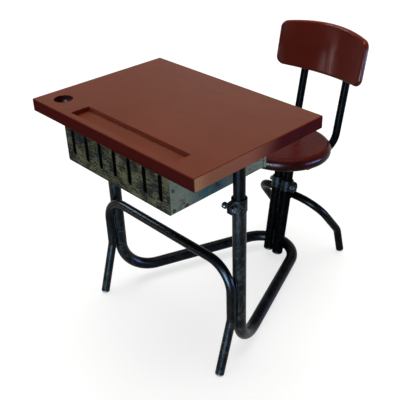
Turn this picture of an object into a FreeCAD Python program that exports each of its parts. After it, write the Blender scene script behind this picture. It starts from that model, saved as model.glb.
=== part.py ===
import FreeCAD, Part
import math
import os

import Sketcher

# A school desk with its seat on the same frame.
# One bent tube makes both desk posts, the two runs near the floor and the bend that holds the seat's sockets.
# A front and a rear leg arch carry it. The desk and the seat each slide on their tubes and are clamped there.
# X is across the desk, +Y runs from the desk's front edge to the seat, and Z = 0 is the floor.
# Right is the side of +X.

Vector = FreeCAD.Vector
Z_AXIS = Vector(0, 0, 1)

# Sizes, in millimetres and degrees
SIZES = {
    # Where the posts stand: their distance behind the middle of the whole footprint
    "post_plane_y": -247.7,
    # Main frame tube: two posts, two runs and the bend behind the seat
    "post_inset": 50,
    "frame_radius": 17.5,
    "frame_wall": 2.5,
    "run_height": 38,
    "post_bend": 110,
    "apex_bend": 100,
    "rim_height": 518,
    "slit_width": 3,
    "slit_depth": 45,
    # Running and seating clearances
    "slide_clearance": 0.1,
    "thread_clearance": 0.1,
    "turn_gap": 0.25,
    "weld_gap": 0.15,
    "plug_clearance": 0.1,
    "sheet_clearance": 0.1,
    "overrun": 5,
    # Front leg arch
    "leg_radius": 12.5,
    "leg_wall": 2,
    "front_bar_height": 326,
    "front_bend": 75,
    "front_knee_height": 163,
    "front_knee_bend": 45,
    "front_foot_reach": 48,
    # Rear leg arch
    "rear_bar_height": 221,
    "rear_corner_x": 123,
    "rear_bend": 80,
    "rear_knee_x": 138,
    "rear_knee_reach": 102,
    "rear_knee_height": 86,
    "rear_knee_bend": 42,
    "rear_foot_x": 147,
    "rear_foot_reach": 116.5,
    # Plugs in the open ends of the legs and sockets
    "cap_thickness": 6,
    "cap_edge": 4,
    "plug_length": 14,
    # Seat sockets, measured along their leaning axis from the height of the runs
    "socket_x": 18.5,
    "socket_reach": 428.5,
    "socket_tilt": 8.7,
    "socket_rise": 246,
    "socket_drop": 13,
    # Split clamps round the tops of the posts and sockets
    "clamp_height": 33,
    "clamp_wall": 2,
    "ear_reach": 36,
    "ear_thickness": 4,
    "ear_gap": 4,
    "ear_corner": 8,
    "bolt_reach": 28,
    "boss_radius": 7,
    "boss_height": 3,
    "set_head_radius": 7.5,
    "set_head_length": 7,
    # Clamp screws and their nuts. The desk's screws have a round knob on a neck, the seat's a low head
    "bolt_radius": 4,
    "neck_radius": 5,
    "neck_length": 8,
    "knob_radius": 8,
    "knob_length": 11,
    "knob_edge": 2.5,
    "bolt_end": 2,
    "bolt_head_radius": 7,
    "bolt_head_length": 5,
    "nut_radius": 7.5,
    "nut_thickness": 6,
    "tip_gap": 0.2,
    # Desktop
    "top_width": 600,
    "top_depth": 425,
    "top_thickness": 34,
    "top_height": 664,
    "top_front_reach": 184.5,
    "top_edge": 3.5,
    "ink_hole_radius": 24.5,
    "ink_hole_side": 61,
    "ink_hole_inset": 53,
    # Recess under the ink hole, measured from the middle of the hole
    "recess_half_width": 40.5,
    "recess_fore": 40.5,
    "recess_aft": 75,
    "recess_corner": 8,
    "recess_depth": 15,
    "groove_left": 146.5,
    "groove_right": 82,
    "groove_inset": 17,
    "groove_width": 52,
    "groove_depth": 12.5,
    # Sliding posts under the desktop and their plates
    "post_wall": 2.5,
    "post_length": 295,
    "plate_width": 84,
    "plate_depth": 96,
    "plate_thickness": 4,
    "plate_corner": 8,
    "plate_screw_inset": 10,
    # Sheet steel book box, open at the back
    "box_side_gap": 35.5,
    "box_height": 111,
    "box_front_inset": 20.5,
    "box_depth": 308.5,
    "sheet_thickness": 1.2,
    "box_corner": 5,
    "box_flange": 14,
    "roll_radius": 4.5,
    "front_tab": 22,
    "slot_count": 7,
    "slot_margin": 32,
    "slot_radius": 6.5,
    "slot_foot": 26,
    "slot_head": 16,
    # Rivets of the box front
    "rivet_radius": 2.5,
    "rivet_head_radius": 4.5,
    "rivet_head_height": 2,
    "rivet_head_edge": 1.6,
    "rivet_tail_radius": 3.6,
    "rivet_tail_height": 1.2,
    "rivet_inset": 9.5,
    "rivet_low": 10.5,
    "rivet_high": 61.5,
    # Wood screws
    "screw_radius": 2,
    "screw_head_radius": 4.5,
    "screw_head_height": 2.6,
    "screw_head_edge": 2,
    "screw_length": 16,
    # Seat
    "seat_radius": 155,
    "seat_thickness": 40,
    "seat_height": 423,
    "seat_reach": 447,
    "seat_tilt": 4,
    "seat_edge": 18,
    # Pressed steel bracket under the seat: a cross strap and a plate that spreads over the two tubes
    "bracket_thickness": 4,
    "strap_half_width": 15,
    "strap_half_length": 136,
    "strap_offset": -20,
    "bracket_waist": 34,
    "bracket_tail": 94,
    "bracket_tail_reach": 100,
    "bracket_corner": 6,
    "strap_screw_x": 127,
    "tail_screw_x": 83,
    "tail_screw_inset": 12,
    # Seat tubes that slide in the sockets
    "seat_tube_foot": 88,
    # Backrest tubes, welded beside the seat tubes, bent round under the seat and flattened behind the board
    "back_radius": 12,
    "back_wall": 2,
    "back_bend": 64,
    "nose_length": 12,
    "upright_x": 80.4,
    "upright_reach": 625.3,
    "upright_tilt": 10.9,
    "flat_thickness": 11,
    "flat_width": 31,
    "flat_start": 74,
    "flat_full": 44,
    "flat_top": 50,
    "tang_screw_low": -24,
    "tang_screw_high": 30,
    # Backrest board, bent round the sitter
    "board_height": 642.7,
    "board_bend": 327,
    "board_thickness": 17,
    "board_half_width": 161.9,
    "board_half_height": 67.1,
    "board_crown": 20.8,
    "board_corner": 25,
    "board_edge": 8,
    "board_screw_depth": 12,
}

doc = FreeCAD.newDocument("school_desk")
sheet = doc.addObject("Spreadsheet::Sheet", "Sizes")
for row, (alias, number) in enumerate(SIZES.items(), start=1):
    sheet.set(f"A{row}", alias)
    sheet.set(f"B{row}", str(number))
    sheet.setAlias(f"B{row}", alias)
doc.recompute()


class Term:
    """A size or a place: its number, and the expression over the sheet that gives it."""

    def __init__(self, number, text):
        self.number = number
        self.text = text

    def __float__(self):
        return float(self.number)

    def __add__(self, other):
        return Term(float(self) + float(other), f"({self.text} + {words(other)})")

    def __radd__(self, other):
        return Term(float(self) + float(other), f"({words(other)} + {self.text})")

    def __sub__(self, other):
        return Term(float(self) - float(other), f"({self.text} - {words(other)})")

    def __rsub__(self, other):
        return Term(float(other) - float(self), f"({words(other)} - {self.text})")

    def __mul__(self, other):
        return Term(float(self) * float(other), f"({self.text} * {words(other)})")

    __rmul__ = __mul__

    def __truediv__(self, other):
        return Term(float(self) / float(other), f"({self.text} / {words(other)})")

    def __neg__(self):
        return Term(-float(self), f"(-{self.text})")


def words(value):
    return value.text if isinstance(value, Term) else f"({value})"


def root(value):
    return Term(math.sqrt(float(value)), f"sqrt({words(value)})")


def sine(angle):
    return Term(math.sin(math.radians(float(angle))), f"sin({words(angle)})")


def cosine(angle):
    return Term(math.cos(math.radians(float(angle))), f"cos({words(angle)})")


def turn_of(rise, run):
    """The angle of a slope, in degrees."""
    return Term(math.degrees(math.atan2(float(rise), float(run))), f"atan2({words(rise)}; {words(run)})")


class Sheet:
    """The sheet's cells as terms."""

    def __getattr__(self, alias):
        return Term(float(sheet.get(alias)), f"Sizes.{alias}")


S = Sheet()


def bind(item, name, value):
    """A property that follows the sheet."""
    item.setExpression(name, words(value))


def vector_text(parts):
    return f"vector({'; '.join(words(part) for part in parts)})"


def place(item, where, *turns):
    """Puts an item at a point, with turns given as an axis and an angle. All of it follows the sheet."""
    turns = turns or [((0, 0, 1), 0)]
    spin = " * ".join(f"rotation({vector_text(axis)}; {words(angle)})" for axis, angle in turns)
    item.setExpression("Placement", f"placement({vector_text(where)}; {spin})")
    return item


# Sketches and the features made from them


def new_body(name):
    return doc.addObject("PartDesign::Body", name)


def sketch_on(body, name, role, lift=0):
    """A sketch on one of the body's own planes, lifted along the plane's normal."""
    sketch = body.newObject("Sketcher::SketchObject", name)
    plane = next(feature for feature in body.Origin.OriginFeatures if feature.Role == role)
    sketch.AttachmentSupport = (plane, [""])
    sketch.MapMode = "FlatFace"
    bind(sketch, "AttachmentOffset.Base.z", lift)
    return sketch


def limit(sketch, kind, value, *where):
    """One dimension of a sketch, bound to its term."""
    index = sketch.addConstraint(Sketcher.Constraint(kind, *where, float(value)))
    bind(sketch, f"Constraints[{index}]", value)


def pin(sketch, geometry, point, x, y):
    limit(sketch, "DistanceX", x, -1, 1, geometry, point)
    limit(sketch, "DistanceY", y, -1, 1, geometry, point)


def circle(sketch, x, y, radius):
    centre = Vector(float(x), float(y), 0)
    index = sketch.addGeometry(Part.Circle(centre, Z_AXIS, float(radius)), False)
    pin(sketch, index, 3, x, y)
    limit(sketch, "Radius", radius, index)


def outline(sketch, points):
    """A closed outline of straight lines."""
    corners = [Vector(float(x), float(y), 0) for x, y in points]
    lines = [
        sketch.addGeometry(Part.LineSegment(start, end), False)
        for start, end in zip(corners, corners[1:] + corners[:1])
    ]
    for line, following in zip(lines, lines[1:] + lines[:1]):
        sketch.addConstraint(Sketcher.Constraint("Coincident", line, 2, following, 1))
    for line, (x, y) in zip(lines, points):
        pin(sketch, line, 1, x, y)


def rectangle(sketch, left, right, low, high):
    outline(sketch, [(left, low), (right, low), (right, high), (left, high)])


def pad(body, sketch, length, reverse=False, both=False):
    feature = body.newObject("PartDesign::Pad", f"{sketch.Name}_pad")
    feature.Profile = sketch
    bind(feature, "Length", length)
    feature.Reversed = reverse
    if both:
        feature.SideType = "Symmetric"
    return feature


def pocket(body, sketch, length=None, reverse=False, both=False):
    """A cut to a depth against the sketch's normal, or right through on both sides."""
    feature = body.newObject("PartDesign::Pocket", f"{sketch.Name}_cut")
    feature.Profile = sketch
    feature.Reversed = reverse
    if both:
        feature.SideType = "Symmetric"
    if length is None:
        feature.Type = "ThroughAll"
    else:
        bind(feature, "Length", length)
    return feature


def revolve(body, sketch):
    feature = body.newObject("PartDesign::Revolution", f"{sketch.Name}_turned")
    feature.Profile = sketch
    feature.ReferenceAxis = (sketch, ["V_Axis"])
    return feature


def round_edges(body, name, radius, chosen):
    """Rounds the edges of the body so far that pass a test."""
    doc.recompute()
    base = body.Tip
    edges = [f"Edge{index}" for index, edge in enumerate(base.Shape.Edges, start=1) if chosen(edge)]
    feature = body.newObject("PartDesign::Fillet", name)
    feature.Base = (base, edges)
    bind(feature, "Radius", radius)
    return feature


def straight_along(edge, axis):
    """True for a straight edge parallel to an axis."""
    if edge.Degenerated or not isinstance(edge.Curve, Part.Line):
        return False
    return abs(edge.Curve.Direction.dot(axis)) > math.cos(math.radians(1))


def same(first, second):
    return math.isclose(float(first), float(second), rel_tol=1e-6, abs_tol=1e-6)


# Round stock, bent tubes and groups of like pieces


def cylinder(name, radius, height):
    rod = doc.addObject("Part::Cylinder", name)
    bind(rod, "Radius", radius)
    bind(rod, "Height", height)
    return rod


def straight_tube(name, radius, bore, length):
    cut = doc.addObject("Part::Cut", name)
    cut.Base = cylinder(f"{name}_outside", radius, length)
    cut.Tool = cylinder(f"{name}_bore", bore, length)
    return cut


def bored(name, base, tool):
    """A piece with the holes that a group of drills makes in it."""
    cut = doc.addObject("Part::Cut", name)
    cut.Base = base
    cut.Tool = tool
    return cut


def group(name, master, places):
    """Like pieces in one node. Each place is a point and the turns there."""
    links = []
    for index, where in enumerate(places, start=1):
        link = doc.addObject("App::Link", f"{name}_{index}")
        link.LinkedObject = master
        links.append(place(link, *where))
    compound = doc.addObject("Part::Compound", name)
    compound.Links = links
    return compound


def bent_axis(points, bends):
    """Straight runs joined by tangent arcs, with one bend radius for each inner point."""
    edges = []
    start = points[0]
    for before, corner, after, bend in zip(points, points[1:], points[2:], bends):
        back = (before - corner).normalize()
        ahead = (after - corner).normalize()
        half = back.getAngle(ahead) / 2
        first = corner + back * (float(bend) / math.tan(half))
        last = corner + ahead * (float(bend) / math.tan(half))
        middle = corner + (back + ahead).normalize() * (float(bend) / math.sin(half) - float(bend))
        edges.append(Part.LineSegment(start, first).toShape())
        edges.append(Part.Arc(first, middle, last).toShape())
        start = last
    edges.append(Part.LineSegment(start, points[-1]).toShape())
    return Part.Wire(edges)


def bent_rod(points, bends, radius):
    ring = Part.Circle(points[0], points[1] - points[0], float(radius)).toShape()
    return bent_axis(points, bends).makePipeShell([Part.Wire(ring)], True, False)


def bent_tube(points, bends, radius, wall):
    return bent_rod(points, bends, radius).cut(bent_rod(points, bends, radius - wall))


def shaped(name, shape):
    feature = doc.addObject("Part::Feature", name)
    feature.Shape = shape
    feature.Placement = FreeCAD.Placement()
    return feature


def point(x, y, z):
    return Vector(float(x), float(y), float(z))


class Leaning:
    """A frame on the plane of symmetry whose Z leans towards +Y."""

    def __init__(self, y, z, lean):
        self.y = y
        self.z = z
        self.turn = ((-1, 0, 0), lean)
        self.sine = sine(lean)
        self.cosine = cosine(lean)

    def at(self, x, y, z):
        """A point given in this frame, in the part's frame."""
        return x, self.y + self.cosine * y + self.sine * z, self.z - self.sine * y + self.cosine * z

    def vector(self, x, y, z):
        return point(*self.at(x, y, z))


# Places that several pieces share

LEFT, RIGHT = -1, 1
SIDES = ((LEFT, "left"), (RIGHT, "right"))
X_AXIS, Y_AXIS = (1, 0, 0), (0, 1, 0)
HALF_TURN, QUARTER_TURN = 180, 90

post_y = S.post_plane_y
post_x = S.top_width / 2 - S.post_inset
frame_bore = S.frame_radius - S.frame_wall
slide_radius = frame_bore - S.slide_clearance
leg_bore = S.leg_radius - S.leg_wall
clamp_radius = S.frame_radius + S.clamp_wall
ear_outside = S.ear_gap / 2 + S.ear_thickness
bolt_bore = S.bolt_radius + S.thread_clearance
top_underside = S.top_height - S.top_thickness
plate_underside = top_underside - S.plate_thickness
clamp_middle = S.rim_height - S.clamp_height / 2

sockets = Leaning(post_y + S.socket_reach, S.run_height, S.socket_tilt)
seat_frame = Leaning(
    post_y + S.seat_reach - S.seat_thickness * sine(S.seat_tilt),
    S.seat_height - S.seat_thickness * cosine(S.seat_tilt),
    S.seat_tilt,
)
board_rise = S.board_height - S.seat_height
upright_slope = sine(S.upright_tilt) / cosine(S.upright_tilt)
back_frame = Leaning(post_y + S.upright_reach + board_rise * upright_slope, S.board_height, S.upright_tilt)

# Fasteners


def turned(name, profile):
    """A body turned from a profile of radius and height."""
    body = new_body(name)
    sketch = sketch_on(body, f"{name}_profile", "XZ_Plane")
    outline(sketch, profile)
    revolve(body, sketch)
    return body


def ring_of(radius, height):
    """A test for the circular edges of one radius at one height."""

    def chosen(edge):
        round_edge = isinstance(edge.Curve, Part.Circle) and same(edge.Curve.Radius, radius)
        return round_edge and same(edge.Curve.Center.z, height)

    return chosen


def wood_screw(name, length):
    """A round headed screw that points up, with its head below Z = 0."""
    head = -S.screw_head_height
    profile = [
        (0, head),
        (S.screw_head_radius, head),
        (S.screw_head_radius, 0),
        (S.screw_radius, 0),
        (S.screw_radius, length),
        (0, length),
    ]
    body = turned(name, profile)
    round_edges(body, f"{name}_dome", S.screw_head_edge, ring_of(S.screw_head_radius, head))
    return body


def drill(name, radius, below, above):
    """A straight drill that reaches from below Z = 0 to above it."""
    body = new_body(name)
    sketch = sketch_on(body, f"{name}_circle", "XY_Plane", -below)
    circle(sketch, 0, 0, radius)
    pad(body, sketch, below + above)
    return body


def hex_nut(name):
    """A nut that stands on Z = 0."""
    prism = doc.addObject("Part::Prism", f"{name}_block")
    prism.Polygon = 6
    bind(prism, "Circumradius", S.nut_radius)
    bind(prism, "Height", S.nut_thickness)
    return bored(name, prism, cylinder(f"{name}_bore", bolt_bore, S.nut_thickness))


bolt_tip = 2 * ear_outside + S.nut_thickness + S.bolt_end
set_tip = clamp_radius + S.boss_height - slide_radius - S.tip_gap


def clamp_screw(name):
    """A bolt that points up through both ears and the nut, with a neck and a round knob below Z = 0."""
    neck = -S.turn_gap
    knob = neck - S.neck_length
    bottom = knob - S.knob_length
    profile = [
        (0, bottom),
        (S.knob_radius, bottom),
        (S.knob_radius, knob),
        (S.neck_radius, knob),
        (S.neck_radius, neck),
        (S.bolt_radius, neck),
        (S.bolt_radius, bolt_tip),
        (0, bolt_tip),
    ]
    body = turned(name, profile)
    round_edges(body, f"{name}_crown", S.knob_edge, ring_of(S.knob_radius, bottom))
    round_edges(body, f"{name}_collar", S.knob_edge, ring_of(S.knob_radius, knob))
    return body


def headed_screw(name, radius, length, tip):
    """A screw that points up to its tip, with a low round head below Z = 0."""
    seat = -S.turn_gap
    bottom = seat - length
    profile = [
        (0, bottom),
        (radius, bottom),
        (radius, seat),
        (S.bolt_radius, seat),
        (S.bolt_radius, tip),
        (0, tip),
    ]
    body = turned(name, profile)
    round_edges(body, f"{name}_crown", S.knob_edge, ring_of(radius, bottom))
    return body


# Main frame tube

apex_clear = S.apex_bend - (2 * S.frame_radius + S.weld_gap) / sockets.cosine
apex_centre = S.socket_reach - root(apex_clear * apex_clear - S.socket_x * S.socket_x)


def run_corner():
    """How far behind the posts the two runs would meet: each is tangent to the bend at the back."""
    span = math.hypot(float(post_x), float(apex_centre))
    half = math.acos(float(S.apex_bend) / span) - math.atan2(float(apex_centre), float(post_x))
    return float(post_x) / math.tan(half)


def main_frame_tube():
    tip = post_y + run_corner()
    points = [
        point(-post_x, post_y, S.rim_height),
        point(-post_x, post_y, S.run_height),
        point(0, tip, S.run_height),
        point(post_x, post_y, S.run_height),
        point(post_x, post_y, S.rim_height),
    ]
    bends = [S.post_bend, S.apex_bend, S.post_bend]
    tube = shaped("main_frame_stock", bent_tube(points, bends, S.frame_radius, S.frame_wall))
    slits = []
    for side, word in SIDES:
        slit = doc.addObject("Part::Box", f"post_slit_{word}")
        bind(slit, "Length", S.slit_width)
        bind(slit, "Width", S.frame_radius + S.overrun)
        bind(slit, "Height", S.slit_depth + S.overrun)
        left = side * post_x - S.slit_width / 2
        slits.append(place(slit, (left, post_y - S.frame_radius - S.overrun, S.rim_height - S.slit_depth)))
    both = doc.addObject("Part::Compound", "post_slits")
    both.Links = slits
    return bored("main_frame_tube", tube, both)


# Leg arches and the plugs in their feet

leg_plane = post_y - S.frame_radius - S.leg_radius - S.weld_gap
bar_plane = sockets.at(0, 0, (S.rear_bar_height - S.run_height) / sockets.cosine)[1]
bar_plane = bar_plane + (S.frame_radius + S.leg_radius + S.weld_gap) / sockets.cosine


def leg_end(lean):
    """The height of the leg's cut end, whose plug touches the floor."""
    below = (S.cap_thickness - S.cap_edge) * cosine(lean) + S.cap_edge
    return (S.leg_radius - S.cap_edge) * sine(lean) + below


front_lean = turn_of(S.front_foot_reach, S.front_knee_height)
front_end = leg_end(front_lean)
front_end_y = leg_plane - S.front_foot_reach + front_end * S.front_foot_reach / S.front_knee_height

rear_splay = S.rear_foot_x - S.rear_knee_x
rear_kick = S.rear_foot_reach - S.rear_knee_reach
rear_slant = root(rear_splay * rear_splay + rear_kick * rear_kick)
rear_lean = turn_of(rear_slant, S.rear_knee_height)
rear_end = leg_end(rear_lean)
rear_end_x = S.rear_foot_x - rear_end * rear_splay / S.rear_knee_height
rear_end_y = bar_plane + S.rear_foot_reach - rear_end * rear_kick / S.rear_knee_height


def leg_arch(name, half, bends):
    """A bent leg tube, the same on both sides. The half runs from the foot to the bar."""
    other = [Vector(-corner.x, corner.y, corner.z) for corner in half]
    points = other + half[::-1]
    return shaped(name, bent_tube(points, bends, S.leg_radius, S.leg_wall))


def front_leg_arch():
    half = [
        point(post_x, front_end_y, front_end),
        point(post_x, leg_plane, S.front_knee_height),
        point(post_x, leg_plane, S.front_bar_height),
    ]
    bends = [S.front_knee_bend, S.front_bend, S.front_bend, S.front_knee_bend]
    return leg_arch("front_leg_arch", half, bends)


def rear_leg_arch():
    half = [
        point(rear_end_x, rear_end_y, rear_end),
        point(S.rear_knee_x, bar_plane + S.rear_knee_reach, S.rear_knee_height),
        point(S.rear_corner_x, bar_plane, S.rear_bar_height),
    ]
    bends = [S.rear_knee_bend, S.rear_bend, S.rear_bend, S.rear_knee_bend]
    return leg_arch("rear_leg_arch", half, bends)


def tube_plug(name, radius, bore):
    """A plug for a tube that starts at Z = 0 and goes up. Its rounded head is below."""
    plug = bore - S.plug_clearance
    profile = [
        (0, -S.cap_thickness),
        (radius, -S.cap_thickness),
        (radius, 0),
        (plug, 0),
        (plug, S.plug_length),
        (0, S.plug_length),
    ]
    body = turned(name, profile)
    round_edges(body, f"{name}_dome", S.cap_edge, ring_of(radius, -S.cap_thickness))
    return body


def foot_caps():
    plug = tube_plug("leg_plug", S.leg_radius, leg_bore)
    front = [((side * post_x, front_end_y, front_end), ((-1, 0, 0), front_lean)) for side, _ in SIDES]
    rear = [
        ((side * rear_end_x, rear_end_y, rear_end), ((rear_kick, -side * rear_splay, 0), rear_lean))
        for side, _ in SIDES
    ]
    return [group("front_foot_caps", plug, front), group("rear_foot_caps", plug, rear)]


# Seat sockets


def socket_stock(word):
    return straight_tube(f"socket_stock_{word}", S.frame_radius, frame_bore, S.socket_rise + S.socket_drop)


def seat_socket_left():
    """The left socket has a hole for the set screw."""
    hole = cylinder("socket_screw_hole", bolt_bore, S.frame_radius + S.overrun)
    height = S.socket_drop + S.socket_rise - S.clamp_height / 2
    place(hole, (0, 0, height), (Y_AXIS, -QUARTER_TURN))
    socket = bored("seat_socket_left", socket_stock("left"), hole)
    return place(socket, sockets.at(-S.socket_x, 0, -S.socket_drop), sockets.turn)


def seat_socket_right():
    """The right socket has a slit under the gap of its clamp."""
    slit = doc.addObject("Part::Box", "socket_slit")
    bind(slit, "Length", S.frame_radius + S.overrun)
    bind(slit, "Width", S.slit_width)
    bind(slit, "Height", S.slit_depth + S.overrun)
    place(slit, (0, -S.slit_width / 2, S.socket_drop + S.socket_rise - S.slit_depth))
    socket = bored("seat_socket_right", socket_stock("right"), slit)
    return place(socket, sockets.at(S.socket_x, 0, -S.socket_drop), sockets.turn)


def socket_end_caps():
    plug = tube_plug("socket_plug", S.frame_radius, frame_bore)
    places = [(sockets.at(side * S.socket_x, 0, -S.socket_drop), sockets.turn) for side, _ in SIDES]
    return group("socket_end_caps", plug, places)


# Clamps


def collar_band(body, name):
    band = sketch_on(body, f"{name}_band", "XY_Plane")
    circle(band, 0, 0, clamp_radius)
    pad(body, band, S.clamp_height)


def collar_bore(body, name):
    bore = sketch_on(body, f"{name}_bore", "XY_Plane")
    circle(bore, 0, 0, S.frame_radius)
    pocket(body, bore, both=True)


def collar_flat(body, name, side):
    """Cuts a seat collar flat where it meets the other one, halfway between the sockets."""
    flat = sketch_on(body, f"{name}_flat", "XY_Plane")
    face = S.socket_x - S.weld_gap / 2
    if side == RIGHT:
        rectangle(flat, -clamp_radius - S.overrun, -face, -clamp_radius, clamp_radius)
    else:
        rectangle(flat, face, clamp_radius + S.overrun, -clamp_radius, clamp_radius)
    pocket(body, flat, both=True)


def split_clamp(name, forward):
    """A collar with a gap between two ears and a bolt hole through them. The ears point to -Y or to +X."""
    body = new_body(name)
    collar_band(body, name)
    ears = sketch_on(body, f"{name}_ears", "XY_Plane")
    gap = sketch_on(body, f"{name}_gap", "XY_Plane")
    half_gap = S.ear_gap / 2
    if forward:
        rectangle(ears, -ear_outside, ear_outside, -S.ear_reach, 0)
        rectangle(gap, -half_gap, half_gap, -S.ear_reach - S.overrun, 0)
        hole = sketch_on(body, f"{name}_hole", "YZ_Plane")
        circle(hole, -S.bolt_reach, S.clamp_height / 2, bolt_bore)
    else:
        rectangle(ears, 0, S.ear_reach, -ear_outside, ear_outside)
        rectangle(gap, 0, S.ear_reach + S.overrun, -half_gap, half_gap)
        hole = sketch_on(body, f"{name}_hole", "XZ_Plane")
        circle(hole, S.bolt_reach, S.clamp_height / 2, bolt_bore)
    pad(body, ears, S.clamp_height)
    collar_bore(body, name)
    pocket(body, gap, both=True)
    pocket(body, hole, both=True)
    if not forward:
        collar_flat(body, name, RIGHT)

    def ear_corner(edge):
        centre = edge.CenterOfMass
        if forward:
            return straight_along(edge, Vector(1, 0, 0)) and same(centre.y, -S.ear_reach)
        return straight_along(edge, Vector(0, 1, 0)) and same(centre.x, S.ear_reach)

    round_edges(body, f"{name}_corners", S.ear_corner, ear_corner)
    return body


def seat_clamp_left():
    """A closed collar with a threaded boss for the set screw on its outer side."""
    name = "seat_clamp_left"
    body = new_body(name)
    collar_band(body, name)
    boss = sketch_on(body, f"{name}_boss", "YZ_Plane")
    circle(boss, 0, S.clamp_height / 2, S.boss_radius)
    pad(body, boss, clamp_radius + S.boss_height, reverse=True)
    collar_bore(body, name)
    hole = sketch_on(body, f"{name}_hole", "YZ_Plane")
    circle(hole, 0, S.clamp_height / 2, bolt_bore)
    pocket(body, hole, clamp_radius + S.boss_height + S.overrun)
    collar_flat(body, name, LEFT)
    return place(body, sockets.at(-S.socket_x, 0, S.socket_rise - S.clamp_height), sockets.turn)


def desk_clamps():
    base = S.rim_height - S.clamp_height
    return [
        place(split_clamp(f"desk_clamp_{word}", True), (side * post_x, post_y, base))
        for side, word in SIDES
    ]


def seat_clamp_right():
    clamp = split_clamp("seat_clamp_right", False)
    return place(clamp, sockets.at(S.socket_x, 0, S.socket_rise - S.clamp_height), sockets.turn)


def clamp_hardware():
    """The desk screws point outwards. The seat screw points forward, the set screw to the left tube."""
    nut = hex_nut("nut")
    bolt_y = post_y - S.bolt_reach
    desk_nuts = [
        ((side * (post_x + ear_outside), bolt_y, clamp_middle), (Y_AXIS, side * QUARTER_TURN))
        for side, _ in SIDES
    ]
    pieces = [group("desk_clamp_nuts", nut, desk_nuts)]
    for side, word in SIDES:
        start = (side * (post_x - ear_outside), bolt_y, clamp_middle)
        pieces.append(place(clamp_screw(f"desk_clamp_screw_{word}"), start, (Y_AXIS, side * QUARTER_TURN)))
    height = S.socket_rise - S.clamp_height / 2
    forward = (X_AXIS, QUARTER_TURN)
    bolt_x = S.socket_x + S.bolt_reach
    front_face = sockets.at(bolt_x, -ear_outside, height)
    pieces.append(group("seat_clamp_nut", nut, [(front_face, sockets.turn, forward)]))
    back_face = sockets.at(bolt_x, ear_outside, height)
    seat_screw = headed_screw("seat_clamp_screw", S.bolt_head_radius, S.bolt_head_length, bolt_tip)
    pieces.append(place(seat_screw, back_face, sockets.turn, forward))
    boss_face = sockets.at(-S.socket_x - clamp_radius - S.boss_height, 0, height)
    screw = headed_screw("seat_set_screw", S.set_head_radius, S.set_head_length, set_tip)
    pieces.append(place(screw, boss_face, sockets.turn, (Y_AXIS, QUARTER_TURN)))
    return pieces


# Desktop, its posts and plates

ink_hole_x = S.ink_hole_side - S.top_width / 2
box_half_width = post_x - S.frame_radius - S.box_side_gap
box_front_y = post_y - S.top_front_reach + S.box_front_inset
box_bottom = top_underside - S.box_height
flange_screw_x = box_half_width - S.sheet_thickness - S.box_flange / 2
FLANGE_SCREW_SHARES = (0.2, 0.5, 0.85)
CORNERS = ((-1, -1), (1, -1), (1, 1), (-1, 1))

plate_screw_x = S.plate_width / 2 - S.plate_screw_inset
plate_screw_y = S.plate_depth / 2 - S.plate_screw_inset
plate_screws = [
    ((side * post_x + across * plate_screw_x, post_y + along * plate_screw_y, plate_underside),)
    for side, _ in SIDES
    for across, along in CORNERS
]
box_screws = [
    ((side * flange_screw_x, box_front_y + share * S.box_depth, top_underside - S.sheet_thickness),)
    for side, _ in SIDES
    for share in FLANGE_SCREW_SHARES
]
screw_hole = S.screw_radius + S.thread_clearance
screw_drill = drill("screw_drill", screw_hole, S.overrun, S.screw_length + S.overrun)
plate_drills = group("plate_drills", screw_drill, plate_screws)
box_drills = group("box_drills", screw_drill, box_screws)


def desktop():
    board = new_body("desktop_board")
    plan = sketch_on(board, "desktop_plan", "XY_Plane")
    rectangle(plan, -S.top_width / 2, S.top_width / 2, 0, S.top_depth)
    pad(board, plan, S.top_thickness)
    round_edges(board, "desktop_edges", S.top_edge, lambda edge: True)
    groove = sketch_on(board, "pencil_groove", "XY_Plane", S.top_thickness)
    left, right = S.groove_left - S.top_width / 2, S.top_width / 2 - S.groove_right
    rectangle(groove, left, right, S.groove_inset, S.groove_inset + S.groove_width)
    pocket(board, groove, S.groove_depth)
    hole = sketch_on(board, "ink_hole", "XY_Plane")
    circle(hole, ink_hole_x, S.ink_hole_inset, S.ink_hole_radius)
    pocket(board, hole, both=True)
    recess = sketch_on(board, "ink_recess", "XY_Plane")
    left, right = ink_hole_x - S.recess_half_width, ink_hole_x + S.recess_half_width
    rectangle(recess, left, right, S.ink_hole_inset - S.recess_fore, S.ink_hole_inset + S.recess_aft)
    pocket(board, recess, S.recess_depth, reverse=True)

    def recess_upright(edge):
        across = abs(edge.CenterOfMass.x - float(ink_hole_x))
        return straight_along(edge, Z_AXIS) and same(across, S.recess_half_width)

    round_edges(board, "ink_recess_corners", S.recess_corner, recess_upright)
    place(board, (0, post_y - S.top_front_reach, top_underside))
    drills = doc.addObject("Part::Compound", "desktop_drills")
    drills.Links = [plate_drills, box_drills]
    return bored("desktop", board, drills)


def desk_posts():
    foot = plate_underside - S.post_length
    pieces = []
    for side, word in SIDES:
        post = straight_tube(f"desk_post_{word}", slide_radius, slide_radius - S.post_wall, S.post_length)
        pieces.append(place(post, (side * post_x, post_y, foot)))
    return pieces


def desk_plates():
    pieces = []
    for side, word in SIDES:
        body = new_body(f"plate_blank_{word}")
        plan = sketch_on(body, f"plate_plan_{word}", "XY_Plane")
        rectangle(plan, -S.plate_width / 2, S.plate_width / 2, -S.plate_depth / 2, S.plate_depth / 2)
        pad(body, plan, S.plate_thickness)
        round_edges(body, f"plate_corners_{word}", S.plate_corner, lambda edge: straight_along(edge, Z_AXIS))
        place(body, (side * post_x, post_y, plate_underside))
        pieces.append(bored(f"desk_plate_{word}", body, plate_drills))
    return pieces


# Book box

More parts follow.
